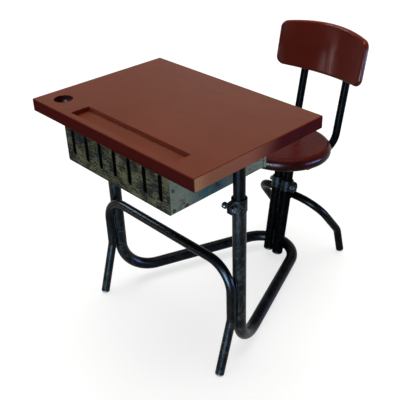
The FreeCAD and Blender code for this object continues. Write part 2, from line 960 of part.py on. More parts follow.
box_mouth = S.box_depth + S.roll_radius - S.sheet_thickness
slot_span = 2 * (box_half_width - S.slot_margin)
SLOTS_TO_A_RIVET = 2
rivet_pitch = slot_span / (S.slot_count - 1) * SLOTS_TO_A_RIVET
slot_base = S.slot_foot + S.slot_radius
slot_crest = S.box_height - S.slot_head - S.slot_radius
rivet_y = box_front_y + S.rivet_inset
side_rivets = [
    ((side * box_half_width, rivet_y, box_bottom + height), (Y_AXIS, side * QUARTER_TURN))
    for side, _ in SIDES
    for height in (S.rivet_low, S.rivet_high)
]
bottom_rivets = [((step * rivet_pitch, rivet_y, box_bottom), (X_AXIS, HALF_TURN)) for step in (-1, 0, 1)]
rivet_drill = drill("rivet_drill", S.rivet_radius + S.thread_clearance, S.overrun, S.overrun)
rivet_drills = group("rivet_drills", rivet_drill, side_rivets + bottom_rivets)


def box_place(item):
    return place(item, (0, box_front_y, box_bottom))


def long_edges_at(height):
    """A test for straight edges along the box at one height."""
    return lambda edge: straight_along(edge, Vector(0, 1, 0)) and same(edge.CenterOfMass.z, height)


def box_roll(body):
    """The sheet's edge at the open back, rolled into a bead that goes round three sides."""
    side = box_half_width - S.sheet_thickness / 2
    foot = S.sheet_thickness / 2
    path = sketch_on(body, "roll_path", "XZ_Plane", -box_mouth)
    corners = [(-side, S.box_height), (-side, foot), (side, foot), (side, S.box_height)]
    ends = [Vector(float(x), float(z), 0) for x, z in corners]
    lines = [path.addGeometry(Part.LineSegment(start, end), False) for start, end in zip(ends, ends[1:])]
    for line, following in zip(lines, lines[1:]):
        path.addConstraint(Sketcher.Constraint("Coincident", line, 2, following, 1))
    for line, (x, z) in zip(lines, corners):
        pin(path, line, 1, x, z)
    pin(path, lines[-1], 2, *corners[-1])
    bead = sketch_on(body, "roll_bead", "XY_Plane", S.box_height)
    circle(bead, -side, box_mouth, S.roll_radius)
    pipe = body.newObject("PartDesign::AdditivePipe", "roll_pipe")
    pipe.Profile = bead
    pipe.Spine = (path, [f"Edge{index}" for index in range(1, len(corners))])
    pipe.Transition = "Round corner"


def book_box_shell():
    body = new_body("box_shell_blank")
    half = box_half_width
    outside = sketch_on(body, "shell_outside", "XZ_Plane")
    rectangle(outside, -half, half, 0, S.box_height)
    pad(body, outside, S.box_depth, reverse=True)
    inside = sketch_on(body, "shell_inside", "XZ_Plane")
    inner = half - S.sheet_thickness
    rectangle(inside, -inner, inner, S.sheet_thickness, S.box_height + S.overrun)
    pocket(body, inside, both=True)
    inner_corner = S.box_corner - S.sheet_thickness
    round_edges(body, "shell_inner_corners", inner_corner, long_edges_at(S.sheet_thickness))
    round_edges(body, "shell_outer_corners", S.box_corner, long_edges_at(0))
    flanges = sketch_on(body, "shell_flanges", "XZ_Plane")
    reach = inner - S.box_flange
    rectangle(flanges, -half, -reach, S.box_height - S.sheet_thickness, S.box_height)
    rectangle(flanges, reach, half, S.box_height - S.sheet_thickness, S.box_height)
    pad(body, flanges, S.box_depth, reverse=True)
    box_roll(body)
    box_place(body)
    drills = doc.addObject("Part::Compound", "shell_drills")
    drills.Links = [box_drills, rivet_drills]
    return bored("book_box_shell", body, drills)


def slot(sketch, x, low, high, radius):
    """An upright slot with round ends."""
    centre, right, left = float(x), float(x + radius), float(x - radius)
    foot, crest = float(low), float(high)
    lower = Part.Circle(Vector(centre, foot, 0), Z_AXIS, float(radius))
    upper = Part.Circle(Vector(centre, crest, 0), Z_AXIS, float(radius))
    low_arc = sketch.addGeometry(Part.ArcOfCircle(lower, math.pi, 2 * math.pi), False)
    right_line = sketch.addGeometry(Part.LineSegment(Vector(right, foot, 0), Vector(right, crest, 0)), False)
    high_arc = sketch.addGeometry(Part.ArcOfCircle(upper, 0, math.pi), False)
    left_line = sketch.addGeometry(Part.LineSegment(Vector(left, crest, 0), Vector(left, foot, 0)), False)
    loop = [low_arc, right_line, high_arc, left_line]
    for edge, following in zip(loop, loop[1:] + loop[:1]):
        sketch.addConstraint(Sketcher.Constraint("Tangent", edge, 2, following, 1))
    pin(sketch, low_arc, 3, x, low)
    pin(sketch, high_arc, 3, x, high)
    limit(sketch, "Radius", radius, low_arc)
    sketch.addConstraint(Sketcher.Constraint("Equal", low_arc, high_arc))


def book_box_front():
    """A slotted front below the flanges, with tabs folded back along the bottom and both sides."""
    body = new_body("box_front_blank")
    half = box_half_width - S.sheet_thickness - S.sheet_clearance
    low = S.sheet_thickness + S.sheet_clearance
    high = S.box_height - S.sheet_thickness - S.sheet_clearance
    face = sketch_on(body, "front_face", "XZ_Plane")
    rectangle(face, -half, half, low, high)
    pad(body, face, S.front_tab, reverse=True)
    inside = sketch_on(body, "front_inside", "XZ_Plane", -S.sheet_thickness)
    inner = half - S.sheet_thickness
    floor = low + S.sheet_thickness
    rectangle(inside, -inner, inner, floor, S.box_height + S.overrun)
    pocket(body, inside, S.front_tab)
    corner = S.box_corner - S.sheet_thickness - S.sheet_clearance
    round_edges(body, "front_inner_corners", corner - S.sheet_thickness, long_edges_at(floor))
    round_edges(body, "front_outer_corners", corner, long_edges_at(low))

    def folded(edge):
        centre = edge.CenterOfMass
        return same(centre.y, 0) and not same(centre.z, high)

    round_edges(body, "front_folds", 2 * S.sheet_thickness, folded)
    first = sketch_on(body, "front_slot", "XZ_Plane")
    slot(first, -slot_span / 2, slot_base, slot_crest, S.slot_radius)
    opening = pocket(body, first, S.front_tab)
    row = body.newObject("PartDesign::LinearPattern", "front_slots")
    row.Originals = [opening]
    row.Direction = (first, ["H_Axis"])
    bind(row, "Length", slot_span)
    bind(row, "Occurrences", S.slot_count)
    body.Tip = row
    box_place(body)
    return bored("book_box_front", body, rivet_drills)


def book_box_rivets():
    grip = -(2 * S.sheet_thickness + S.sheet_clearance)
    tail = grip - S.rivet_tail_height
    profile = [
        (0, tail),
        (S.rivet_tail_radius, tail),
        (S.rivet_tail_radius, grip),
        (S.rivet_radius, grip),
        (S.rivet_radius, 0),
        (S.rivet_head_radius, 0),
        (S.rivet_head_radius, S.rivet_head_height),
        (0, S.rivet_head_height),
    ]
    body = turned("rivet", profile)
    round_edges(body, "rivet_dome", S.rivet_head_edge, ring_of(S.rivet_head_radius, S.rivet_head_height))
    return group("book_box_rivets", body, side_rivets + bottom_rivets)


# Seat and its bracket

seat_screw_places = [
    (seat_frame.at(side * S.strap_screw_x, S.strap_offset, -S.bracket_thickness), seat_frame.turn)
    for side, _ in SIDES
] + [
    (
        seat_frame.at(side * S.tail_screw_x, S.bracket_tail_reach - S.tail_screw_inset, -S.bracket_thickness),
        seat_frame.turn,
    )
    for side, _ in SIDES
]
seat_drills = group("seat_drills", screw_drill, seat_screw_places)


def seat():
    body = new_body("seat_blank")
    profile = sketch_on(body, "seat_profile", "XZ_Plane")
    rectangle(profile, 0, S.seat_radius, 0, S.seat_thickness)
    revolve(body, profile)
    round_edges(body, "seat_rim", S.seat_edge, lambda edge: isinstance(edge.Curve, Part.Circle))
    place(body, seat_frame.at(0, 0, 0), seat_frame.turn)
    return bored("seat", body, seat_drills)


def seat_bracket():
    body = new_body("bracket_blank")
    plan = sketch_on(body, "bracket_plan", "XY_Plane", -S.bracket_thickness)
    front = S.strap_offset - S.strap_half_width
    behind = S.strap_offset + S.strap_half_width
    right_side = [
        (S.strap_half_length, front),
        (S.strap_half_length, behind),
        (S.bracket_waist, behind),
        (S.bracket_tail, S.bracket_tail_reach),
    ]
    outline(plan, right_side + [(-x, y) for x, y in right_side[::-1]])
    pad(body, plan, S.bracket_thickness)
    round_edges(body, "bracket_corners", S.bracket_corner, lambda edge: straight_along(edge, Z_AXIS))
    place(body, seat_frame.at(0, 0, 0), seat_frame.turn)
    return bored("seat_bracket", body, seat_drills)


def seat_tubes():
    """Straight tubes from inside the sockets up to the bracket, trimmed along its underside."""
    pieces = []
    length = S.seat_height - S.seat_tube_foot
    for side, word in SIDES:
        stock = straight_tube(f"seat_tube_stock_{word}", slide_radius, slide_radius - S.post_wall, length)
        place(stock, sockets.at(side * S.socket_x, 0, S.seat_tube_foot), sockets.turn)
        trim = doc.addObject("Part::Box", f"seat_tube_trim_{word}")
        bind(trim, "Length", S.seat_radius)
        bind(trim, "Width", S.seat_radius)
        bind(trim, "Height", S.seat_thickness + S.socket_drop + S.seat_tube_foot)
        left = side * S.socket_x - S.seat_radius / 2
        under = -S.bracket_thickness - S.weld_gap
        place(trim, seat_frame.at(left, -S.seat_radius / 2, under), seat_frame.turn)
        pieces.append(bored(f"seat_tube_{word}", stock, trim))
    return pieces


# Backrest tubes and board

board_back = S.board_bend + S.board_thickness
tang_reach = board_back + S.back_radius + S.weld_gap
tang_share = (board_back + S.flat_thickness + S.weld_gap) / tang_reach
bend_centre = -root(tang_reach * tang_reach - S.upright_x * S.upright_x)
tang_turn = turn_of(S.upright_x, -bend_centre)
tang_screw_places = [
    (
        back_frame.at(
            side * S.upright_x * tang_share,
            bend_centre * (1 - tang_share),
            height,
        ),
        back_frame.turn,
        ((0, 0, 1), -side * tang_turn),
        (X_AXIS, QUARTER_TURN),
    )
    for side, _ in SIDES
    for height in (S.tang_screw_low, S.tang_screw_high)
]
tang_screw_length = S.flat_thickness + S.board_screw_depth
tang_drill = drill("tang_drill", screw_hole, S.overrun, tang_screw_length + S.overrun)
tang_drills = group("tang_drills", tang_drill, tang_screw_places)


def tang_section(side, height, straight, thickness, bulge):
    """One section of the flattened end, flush with the tube's front: two long sides and two round ends."""
    radians = math.radians(float(tang_turn)) * side
    along = Vector(math.cos(radians), -math.sin(radians), 0)
    across = Vector(math.sin(radians), math.cos(radians), 0)
    centre = point(side * S.upright_x, 0, height) - across * (float(S.back_radius) - bulge[1])
    corners = [
        centre + along * (x * straight / 2) + across * (y * thickness / 2)
        for x, y in ((1, 1), (-1, 1), (-1, -1), (1, -1))
    ]
    tips = [across * bulge[1], along * -bulge[0], across * -bulge[1], along * bulge[0]]
    edges = []
    for start, end, tip in zip(corners, corners[1:] + corners[:1], tips):
        middle = centre + tip
        flat = middle.distanceToLineSegment(start, end).Length < float(S.weld_gap)
        curve = Part.LineSegment(start, end) if flat else Part.Arc(start, middle, end)
        edges.append(curve.toShape())
    return Part.Wire(edges)


def flattened_end(side):
    """The tube's upper end, pressed from round to flat and running up behind the board."""
    radius = float(S.back_radius)
    thickness = float(S.flat_thickness)
    width = float(S.flat_width)
    chord = radius * math.sqrt(2)
    tube_end = tang_section(side, -S.flat_start, chord, chord, (radius, radius))
    flat = tang_section(side, -S.flat_full, width - thickness, thickness, (width / 2, thickness / 2))
    press = Part.makeLoft([tube_end, flat], True, True)
    tang = Part.Face(flat).extrude(Vector(0, 0, float(S.flat_full + S.flat_top)))
    end = press.fuse(tang)
    lean = FreeCAD.Rotation(Vector(-1, 0, 0), float(S.upright_tilt))
    end.Placement = FreeCAD.Placement(back_frame.vector(0, 0, 0), lean)
    return end


def back_tube_points(side):
    """The nose beside the seat tube, the corner under the seat and the end of the round tube."""
    below = float(S.bracket_thickness + S.back_radius + S.weld_gap)
    top = back_frame.vector(side * S.upright_x, 0, -S.flat_start)
    upward = back_frame.vector(0, 0, 1) - back_frame.vector(0, 0, 0)
    normal = seat_frame.vector(0, 0, 1) - seat_frame.vector(0, 0, 0)
    level = seat_frame.vector(0, 0, -below)
    corner = top - upward * ((top - level).dot(normal) / upward.dot(normal))
    socket = sockets.vector(side * S.socket_x, 0, 0)
    rise = sockets.vector(0, 0, 1) - sockets.vector(0, 0, 0)
    beside = socket + rise * ((level - socket).dot(normal) / rise.dot(normal))
    straight = beside - corner
    clear = float(slide_radius + S.back_radius + S.weld_gap)
    swing = math.degrees(math.asin(clear / straight.Length)) * side
    heading = FreeCAD.Rotation(normal, swing).multVec(straight).normalize()
    reach = math.sqrt(straight.Length**2 - clear**2) + float(S.nose_length)
    return [corner + heading * reach, corner, top]


def back_tubes():
    pieces = []
    for side, word in SIDES:
        tube = bent_tube(back_tube_points(side), [S.back_bend], S.back_radius, S.back_wall)
        stock = shaped(f"back_tube_stock_{word}", tube.fuse(flattened_end(side)).removeSplitter())
        pieces.append(bored(f"back_tube_{word}", stock, tang_drills))
    return pieces


def crowned_outline(sketch):
    """The board seen from the front: straight sides and an arched top, inside a larger frame."""
    half = S.board_half_width
    high = S.board_half_height
    low = -high - S.overrun
    margin = board_back + S.overrun
    rectangle(sketch, -margin, margin, low - S.overrun, high + S.board_crown + S.overrun)
    sweep = (half * half + S.board_crown * S.board_crown) / (2 * S.board_crown)
    centre = high + S.board_crown - sweep
    corners = [(-half, high), (-half, low), (half, low), (half, high)]
    ends = [Vector(float(x), float(z), 0) for x, z in corners]
    lines = [sketch.addGeometry(Part.LineSegment(start, end), False) for start, end in zip(ends, ends[1:])]
    crest = Vector(0, float(high + S.board_crown), 0)
    arch = sketch.addGeometry(Part.Arc(ends[-1], crest, ends[0]), False)
    for line, following in zip(lines, lines[1:]):
        sketch.addConstraint(Sketcher.Constraint("Coincident", line, 2, following, 1))
    for line, (x, z) in zip(lines, corners):
        pin(sketch, line, 1, x, z)
    pin(sketch, lines[-1], 2, *corners[-1])
    sketch.addConstraint(Sketcher.Constraint("Coincident", arch, 1, lines[-1], 2))
    sketch.addConstraint(Sketcher.Constraint("Coincident", arch, 2, lines[0], 1))
    limit(sketch, "DistanceY", centre, -1, 1, arch, 3)


def backrest():
    """A board bent round the sitter, with an arched top, round corners and soft edges."""
    body = new_body("backrest_blank")
    low = -S.board_half_height
    margin = board_back + S.overrun
    back = sketch_on(body, "board_back_face", "XY_Plane", low)
    circle(back, 0, bend_centre, board_back)
    pad(body, back, 2 * S.board_half_height + S.board_crown)
    front = sketch_on(body, "board_front_face", "XY_Plane")
    circle(front, 0, bend_centre, S.board_bend)
    pocket(body, front, both=True)
    fore_half = sketch_on(body, "board_fore_half", "XY_Plane")
    rectangle(fore_half, -margin, margin, bend_centre - margin, bend_centre)
    pocket(body, fore_half, both=True)
    elevation = sketch_on(body, "board_elevation", "XZ_Plane")
    crowned_outline(elevation)
    pocket(body, elevation, both=True)
    through = Vector(0, 1, 0)
    round_edges(body, "board_corners", S.board_corner, lambda edge: straight_along(edge, through))
    round_edges(body, "board_edges", S.board_edge, lambda edge: not straight_along(edge, through))
    place(body, back_frame.at(0, 0, 0), back_frame.turn)
    return bored("backrest", body, tang_drills)


# All the pieces

nodes = [main_frame_tube(), front_leg_arch(), rear_leg_arch(), *foot_caps()]
nodes += [seat_socket_left(), seat_socket_right(), socket_end_caps()]
nodes += [*desk_clamps(), seat_clamp_left(), seat_clamp_right(), *clamp_hardware()]
nodes += [desktop(), *desk_posts(), *desk_plates()]
nodes += [book_box_shell(), book_box_front(), book_box_rivets()]
wood_screw_master = wood_screw("wood_screw", S.screw_length)
nodes += [
    group("desk_plate_screws", wood_screw_master, plate_screws),
    group("book_box_screws", wood_screw_master, box_screws),
    group("seat_screws", wood_screw_master, seat_screw_places),
]
nodes += [seat(), seat_bracket(), *seat_tubes(), *back_tubes(), backrest()]
nodes += [group("backrest_screws", wood_screw("tang_screw", tang_screw_length), tang_screw_places)]

doc.recompute()
for item in doc.Objects:
    if "Invalid" in item.State or "Error" in item.State:
        raise RuntimeError(f"{item.Name} failed: {item.State} {item.getStatusString()}")
for node in nodes:
    if node.Shape.isNull() or not node.Shape.isValid() or not node.Shape.Solids:
        raise RuntimeError(f"{node.Label} has no valid solid")

os.makedirs("parts", exist_ok=True)
for node in nodes:
    node.Shape.exportStep(f"parts/{node.Label}.step")
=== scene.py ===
import math

import bmesh
import bpy
from mathutils import Matrix, Vector


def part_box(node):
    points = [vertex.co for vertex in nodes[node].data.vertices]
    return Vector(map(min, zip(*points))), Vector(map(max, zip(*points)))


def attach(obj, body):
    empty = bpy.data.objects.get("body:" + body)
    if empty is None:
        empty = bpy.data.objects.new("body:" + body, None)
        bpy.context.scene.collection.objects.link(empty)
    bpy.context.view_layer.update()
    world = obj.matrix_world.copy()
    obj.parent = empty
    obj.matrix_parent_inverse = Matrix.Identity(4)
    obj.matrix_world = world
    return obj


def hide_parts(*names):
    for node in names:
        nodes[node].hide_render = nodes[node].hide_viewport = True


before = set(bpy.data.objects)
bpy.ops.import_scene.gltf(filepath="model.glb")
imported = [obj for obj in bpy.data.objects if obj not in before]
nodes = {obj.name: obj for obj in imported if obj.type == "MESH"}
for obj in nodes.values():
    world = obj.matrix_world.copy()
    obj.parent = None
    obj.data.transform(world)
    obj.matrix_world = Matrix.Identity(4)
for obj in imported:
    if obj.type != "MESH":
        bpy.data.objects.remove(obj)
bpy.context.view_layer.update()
scene = bpy.context.scene


# Places that the looks and the small pieces share, in metres

INK_HOLE = (-0.239, -0.3792)
INK_HOLE_RADIUS = 0.0245
FRONT_PANEL_BACK = (-0.38, -0.37)
POST_X = 0.250
POST_Y = -0.2477
CLAMP_FOOT = 0.484                   # the desk clamps' lower edge
ARCH_Y = -0.27785
SOCKET_X = 0.0185
SOCKET_FOOT = Vector((0, 0.1808, 0.038))
SOCKET_TILT = math.radians(8.7)
SEAT_TILT = math.radians(4)
BACK_LEAN = math.radians(10.9)
RUN_Z = 0.038
REAR_BAR_Y = 0.2393
REAR_BAR_Z = 0.221


# Colours

def linear(red, green, blue):
    """A colour written as 0 to 255 screen values, as Blender's linear numbers."""
    def one(value):
        value = value / 255
        return value / 12.92 if value <= 0.04045 else ((value + 0.055) / 1.055) ** 2.4
    return (one(red), one(green), one(blue), 1.0)


# Camera: it stands in front of the desk, to the right of it and above

CAMERA_EYE = Vector((1.1529, -1.1981, 1.3201))
CAMERA_YAW = math.radians(43.465)
CAMERA_PITCH = math.radians(30.770)
SENSOR = 36.0
LENS = 59.35
SHIFT_X = -0.100
SHIFT_Y = -0.0255
NEAREST = 0.05
FARTHEST = 60


def make_camera():
    flat = math.cos(CAMERA_PITCH)
    ahead = Vector((-math.sin(CAMERA_YAW) * flat, math.cos(CAMERA_YAW) * flat,
                    -math.sin(CAMERA_PITCH)))
    right = Vector((math.cos(CAMERA_YAW), math.sin(CAMERA_YAW), 0))
    up = right.cross(ahead)
    data = bpy.data.cameras.new("camera")
    data.sensor_width = SENSOR
    data.lens = LENS
    data.shift_x = SHIFT_X
    data.shift_y = SHIFT_Y
    data.clip_start = NEAREST
    data.clip_end = FARTHEST
    camera = bpy.data.objects.new("camera", data)
    turn = Matrix((right, up, -ahead)).transposed()
    camera.matrix_world = Matrix.Translation(CAMERA_EYE) @ turn.to_4x4()
    scene.collection.objects.link(camera)
    scene.camera = camera


# Node trees

# A mix node has sockets of one name for each kind of data; these are the ones for colours
MIX_FIRST, MIX_SECOND, MIX_RESULT = 6, 7, 2
EDGE_SAMPLES = 6


class Look:
    """One material, built with short calls that each add a node and return its output socket."""

    def __init__(self, name):
        self.material = bpy.data.materials.new(name)
        self.material.use_nodes = True
        self.tree = self.material.node_tree
        self.tree.nodes.clear()
        self.shader = self.add("ShaderNodeBsdfPrincipled")
        self.out = self.add("ShaderNodeOutputMaterial")
        self.tree.links.new(self.shader.outputs["BSDF"], self.out.inputs["Surface"])
        self.place = self.add("ShaderNodeTexCoord").outputs["Object"]

    def add(self, kind, **settings):
        node = self.tree.nodes.new(kind)
        for key, value in settings.items():
            setattr(node, key, value)
        return node

    def put(self, socket, value):
        """Links a socket to another socket, or sets it to a value."""
        if isinstance(value, bpy.types.NodeSocket):
            self.tree.links.new(value, socket)
        elif value is not None:
            socket.default_value = value

    def scaled(self, x=1, y=1, z=1, shift=(0, 0, 0)):
        """The place, stretched where a scale is below 1."""
        node = self.add("ShaderNodeMapping")
        self.put(node.inputs["Vector"], self.place)
        node.inputs["Scale"].default_value = (x, y, z)
        node.inputs["Location"].default_value = shift
        return node.outputs["Vector"]

    def noise(self, scale, detail=4, rough=0.5, warp=0, where=None):
        """Noise with about scale lumps in a metre."""
        node = self.add("ShaderNodeTexNoise")
        self.put(node.inputs["Vector"], where or self.place)
        node.inputs["Scale"].default_value = scale
        node.inputs["Detail"].default_value = detail
        node.inputs["Roughness"].default_value = rough
        node.inputs["Distortion"].default_value = warp
        return node.outputs["Fac"]

    def cells(self, scale):
        """The distance from the middle of the nearest cell."""
        node = self.add("ShaderNodeTexVoronoi")
        self.put(node.inputs["Vector"], self.place)
        node.inputs["Scale"].default_value = scale
        return node.outputs["Distance"]

    def range(self, value, low, high, start=0.0, end=1.0, smooth=True):
        """Maps low..high of a value to start..end."""
        kind = "SMOOTHSTEP" if smooth else "LINEAR"
        node = self.add("ShaderNodeMapRange", interpolation_type=kind)
        self.put(node.inputs["Value"], value)
        self.put(node.inputs["From Min"], low)
        self.put(node.inputs["From Max"], high)
        self.put(node.inputs["To Min"], start)
        self.put(node.inputs["To Max"], end)
        return node.outputs["Result"]

    def maths(self, operation, first, second=None):
        node = self.add("ShaderNodeMath", operation=operation)
        self.put(node.inputs[0], first)
        self.put(node.inputs[1], second)
        return node.outputs[0]

    def plus(self, first, second):
        return self.maths("ADD", first, second)

    def minus(self, first, second):
        return self.maths("SUBTRACT", first, second)

    def times(self, first, *others):
        for other in others:
            first = self.maths("MULTIPLY", first, other)
        return first

    def least(self, first, second):
        return self.maths("MINIMUM", first, second)

    def most(self, first, second):
        return self.maths("MAXIMUM", first, second)

    def length(self, first, second):
        """The length of a line that goes by first one way and by second square to it."""
        square = self.plus(self.times(first, first), self.times(second, second))
        return self.maths("SQRT", square)

    def mix(self, share, first, second):
        node = self.add("ShaderNodeMix", data_type="RGBA")
        self.put(node.inputs["Factor"], share)
        self.put(node.inputs[MIX_FIRST], first)
        self.put(node.inputs[MIX_SECOND], second)
        return node.outputs[MIX_RESULT]

    def part(self, axis):
        """One coordinate of the point."""
        node = self.add("ShaderNodeSeparateXYZ")
        self.put(node.inputs[0], self.place)
        return node.outputs[axis]

    def facing(self, axis):
        """One component of the surface's normal, in the object's own frame."""
        turn = self.add("ShaderNodeVectorTransform", vector_type="NORMAL",
                        convert_from="WORLD", convert_to="OBJECT")
        self.put(turn.inputs[0], self.add("ShaderNodeNewGeometry").outputs["Normal"])
        node = self.add("ShaderNodeSeparateXYZ")
        self.put(node.inputs[0], turn.outputs[0])
        return node.outputs[axis]

    def edge(self, radius):
        """High near an arris or a corner, from how far the rounded normal leaves the true one."""
        soft = self.add("ShaderNodeBevel", samples=EDGE_SAMPLES)
        soft.inputs["Radius"].default_value = radius
        real = self.add("ShaderNodeNewGeometry")
        dot = self.add("ShaderNodeVectorMath", operation="DOT_PRODUCT")
        self.put(dot.inputs[0], soft.outputs[0])
        self.put(dot.inputs[1], real.outputs["Normal"])
        return self.minus(1.0, dot.outputs["Value"])

    def bump(self, height, strength, distance):
        node = self.add("ShaderNodeBump")
        node.inputs["Strength"].default_value = strength
        node.inputs["Distance"].default_value = distance
        self.put(node.inputs["Height"], height)
        return node.outputs["Normal"]

    def finish(self, colour, roughness, normal=None, metallic=0.0, specular=0.5):
        shader = self.shader
        self.put(shader.inputs["Base Color"], colour)
        self.put(shader.inputs["Roughness"], roughness)
        self.put(shader.inputs["Metallic"], metallic)
        self.put(shader.inputs["Normal"], normal)
        shader.inputs["Specular IOR Level"].default_value = specular
        return self.material


# The desktop's varnish: brown-red and almost opaque, over close grain that runs along the desk

TOP_FRONT = (linear(114, 56, 34), linear(107, 52, 32))
# The back's colour is a little greyer than the front's: a painted sheen.
TOP_BACK_SHEEN = (linear(116, 62, 44), linear(110, 58, 41))
TOP_CLOUD = linear(121, 62, 40)
TOP_GRAIN = linear(96, 44, 28)
TOP_PORES = linear(84, 36, 24)
TOP_DABS = linear(60, 22, 16)
GROOVE_WALL = (linear(158, 86, 62), linear(140, 74, 54))
# The groove's left end wall is darkened with painted shade.
GROOVE_END_SHADE = linear(104, 44, 32)
SIDE_MAROON = (linear(88, 19, 9), linear(77, 15, 7))
SIDE_REFLECTION_FAR = linear(186, 110, 98)
SIDE_WEAR_AND_REFLECTION_NEAR = linear(176, 116, 92)
SIDE_RUBBED_CORNER = linear(206, 156, 118)
HOLE_WALL_SHADE = linear(44, 11, 9)
ARRIS_RED_WEAR_AND_HIGHLIGHT = linear(150, 36, 20)

SIDE_REACH = (0.004, 0.008)          # how far in from the outline the sides' maroon ends
HOLE_REACH = (-0.001, 0.003)         # the same for the hole's wall, darkened with painted shade, from the hole's radius
REFLECTION_START = 0.02                  # the right side's painted reflection begins to fade here
REFLECTION_SHARE = 0.78                  # and is gone at this share of the side
RUBBED_CORNER = 0.05                 # how far back the palest part at its front reaches
TOP_ARRIS = 0.0045


def desktop_top(look, along, drift, grain, pores):
    """The top's colour, a little cooler and greyer to the back as a painted sheen, with clouds,
    grain and pores.
    """
    low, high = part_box("desktop")
    back = look.range(along, low[1], high[1], smooth=False)
    drifting = look.range(drift, 0.35, 0.68)
    base = look.mix(back, look.mix(drifting, *TOP_FRONT), look.mix(drifting, *TOP_BACK_SHEEN))
    cloud = look.noise(11, 5, 0.6, 0.2, look.scaled(0.7, 1.2))
    base = look.mix(look.range(cloud, 0.4, 0.72, 0, 0.25), base, TOP_CLOUD)
    base = look.mix(look.range(grain, 0.48, 0.7, 0, 0.16), base, TOP_GRAIN)
    return look.mix(look.range(pores, 0.58, 0.75, 0, 0.12), base, TOP_PORES)


def desktop_side(look, along, drift, grain):
    """The outer sides' maroon; the right side has a painted pink reflection, and near its front a
    tan patch of rubbed varnish.
    """
    low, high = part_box("desktop")
    maroon = look.mix(look.range(grain, 0.4, 0.65), *SIDE_MAROON)
    right = look.range(look.facing("X"), 0.75, 0.95)
    fading_end = low[1] + REFLECTION_SHARE * (high[1] - low[1])
    # The pale band on the right side is a painted reflection; only its tan front corner is rubbed
    # varnish.
    near = look.range(along, low[1] + REFLECTION_START, fading_end, 1, 0)
    rubbed = look.range(look.plus(near, look.times(drift, 0.4)), 0.25, 0.8)
    corner = look.range(along, low[1], low[1] + RUBBED_CORNER, 1, 0)
    pale = look.mix(near, SIDE_REFLECTION_FAR, SIDE_WEAR_AND_REFLECTION_NEAR)
    pale = look.mix(corner, pale, SIDE_RUBBED_CORNER)
    return look.mix(look.times(right, rubbed), maroon, pale)


def groove_wall(look, grain):
    """The groove's long walls, and its left end darkened with painted shade."""
    walls = look.mix(look.range(grain, 0.4, 0.65), *GROOVE_WALL)
    return look.mix(look.range(look.facing("X"), 0.4, 0.8), walls, GROOVE_END_SHADE)


def desktop_outer(look, across, along):
    """High within a few millimetres of the board's outline."""
    low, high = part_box("desktop")
    in_x = look.least(look.minus(across, low[0]), look.minus(high[0], across))
    in_y = look.least(look.minus(along, low[1]), look.minus(high[1], along))
    return look.range(look.least(in_x, in_y), *SIDE_REACH, 1, 0)


def desktop_varnish(name, gloss, roughness):
    """The sides are darker than the top, and red along their arrises, partly rubbed varnish and
    partly a painted highlight.
    """
    look = Look(name)
    across, along = look.part("X"), look.part("Y")
    drift = look.noise(3.2, 3, 0.5, 0.4)
    grain = look.noise(62, 6, 0.62, 0.5, look.scaled(0.035))
    pores = look.noise(430, 3, 0.6, 0, look.scaled(0.03))
    side = look.range(look.facing("Z"), 0.5, 0.85, 1, 0)
    outer = desktop_outer(look, across, along)
    base = desktop_top(look, along, drift, grain, pores)
    inner_wall = look.times(side, look.minus(1.0, outer))
    base = look.mix(inner_wall, base, groove_wall(look, grain))
    outer_side = look.times(side, outer)
    base = look.mix(outer_side, base, desktop_side(look, along, drift, grain))
    # The ink hole's wall is darkened with painted shade.
    reach = look.length(look.minus(across, INK_HOLE[0]), look.minus(along, INK_HOLE[1]))
    inmost, outmost = (INK_HOLE_RADIUS + step for step in HOLE_REACH)
    hole_shade = look.times(look.range(reach, inmost, outmost, 1, 0), side)
    base = look.mix(hole_shade, base, HOLE_WALL_SHADE)
    # The red along the arrises is partly rubbed varnish and partly a painted highlight.
    edge = look.range(look.edge(TOP_ARRIS), 0.012, 0.13)
    rub = look.times(edge, look.range(look.noise(38, 4, 0.6), 0.3, 0.6, 0.25, 0.85))
    base = look.mix(rub, base, ARRIS_RED_WEAR_AND_HIGHLIGHT)
    dabs = look.range(look.cells(95), 0.0, 0.11, 1, 0)
    dabs = look.times(dabs, look.range(look.noise(9), 0.52, 0.62))
    base = look.mix(look.times(dabs, 0.3), base, TOP_DABS)
    smear = look.noise(14, 5, 0.65, 1.1, look.scaled(0.5))
    rough = look.range(smear, 0.3, 0.7, roughness, roughness + 0.12)
    rough = look.plus(rough, look.range(look.noise(260, 3, 0.6), 0.3, 0.7, -0.02, 0.03))
    height = look.plus(look.times(grain, 0.5), look.times(look.noise(7, 2), 0.9))
    height = look.plus(height, look.times(pores, -0.25))
    return look.finish(base, rough, look.bump(height, 0.14, 0.0009), specular=gloss)


# The seat's and the backrest's varnish

SEAT_ARRIS = 0.006
SEAT_GRAIN = linear(40, 9, 8)
SEAT_RUBBED = linear(104, 27, 18)
SEAT_NICKS = linear(125, 82, 66)


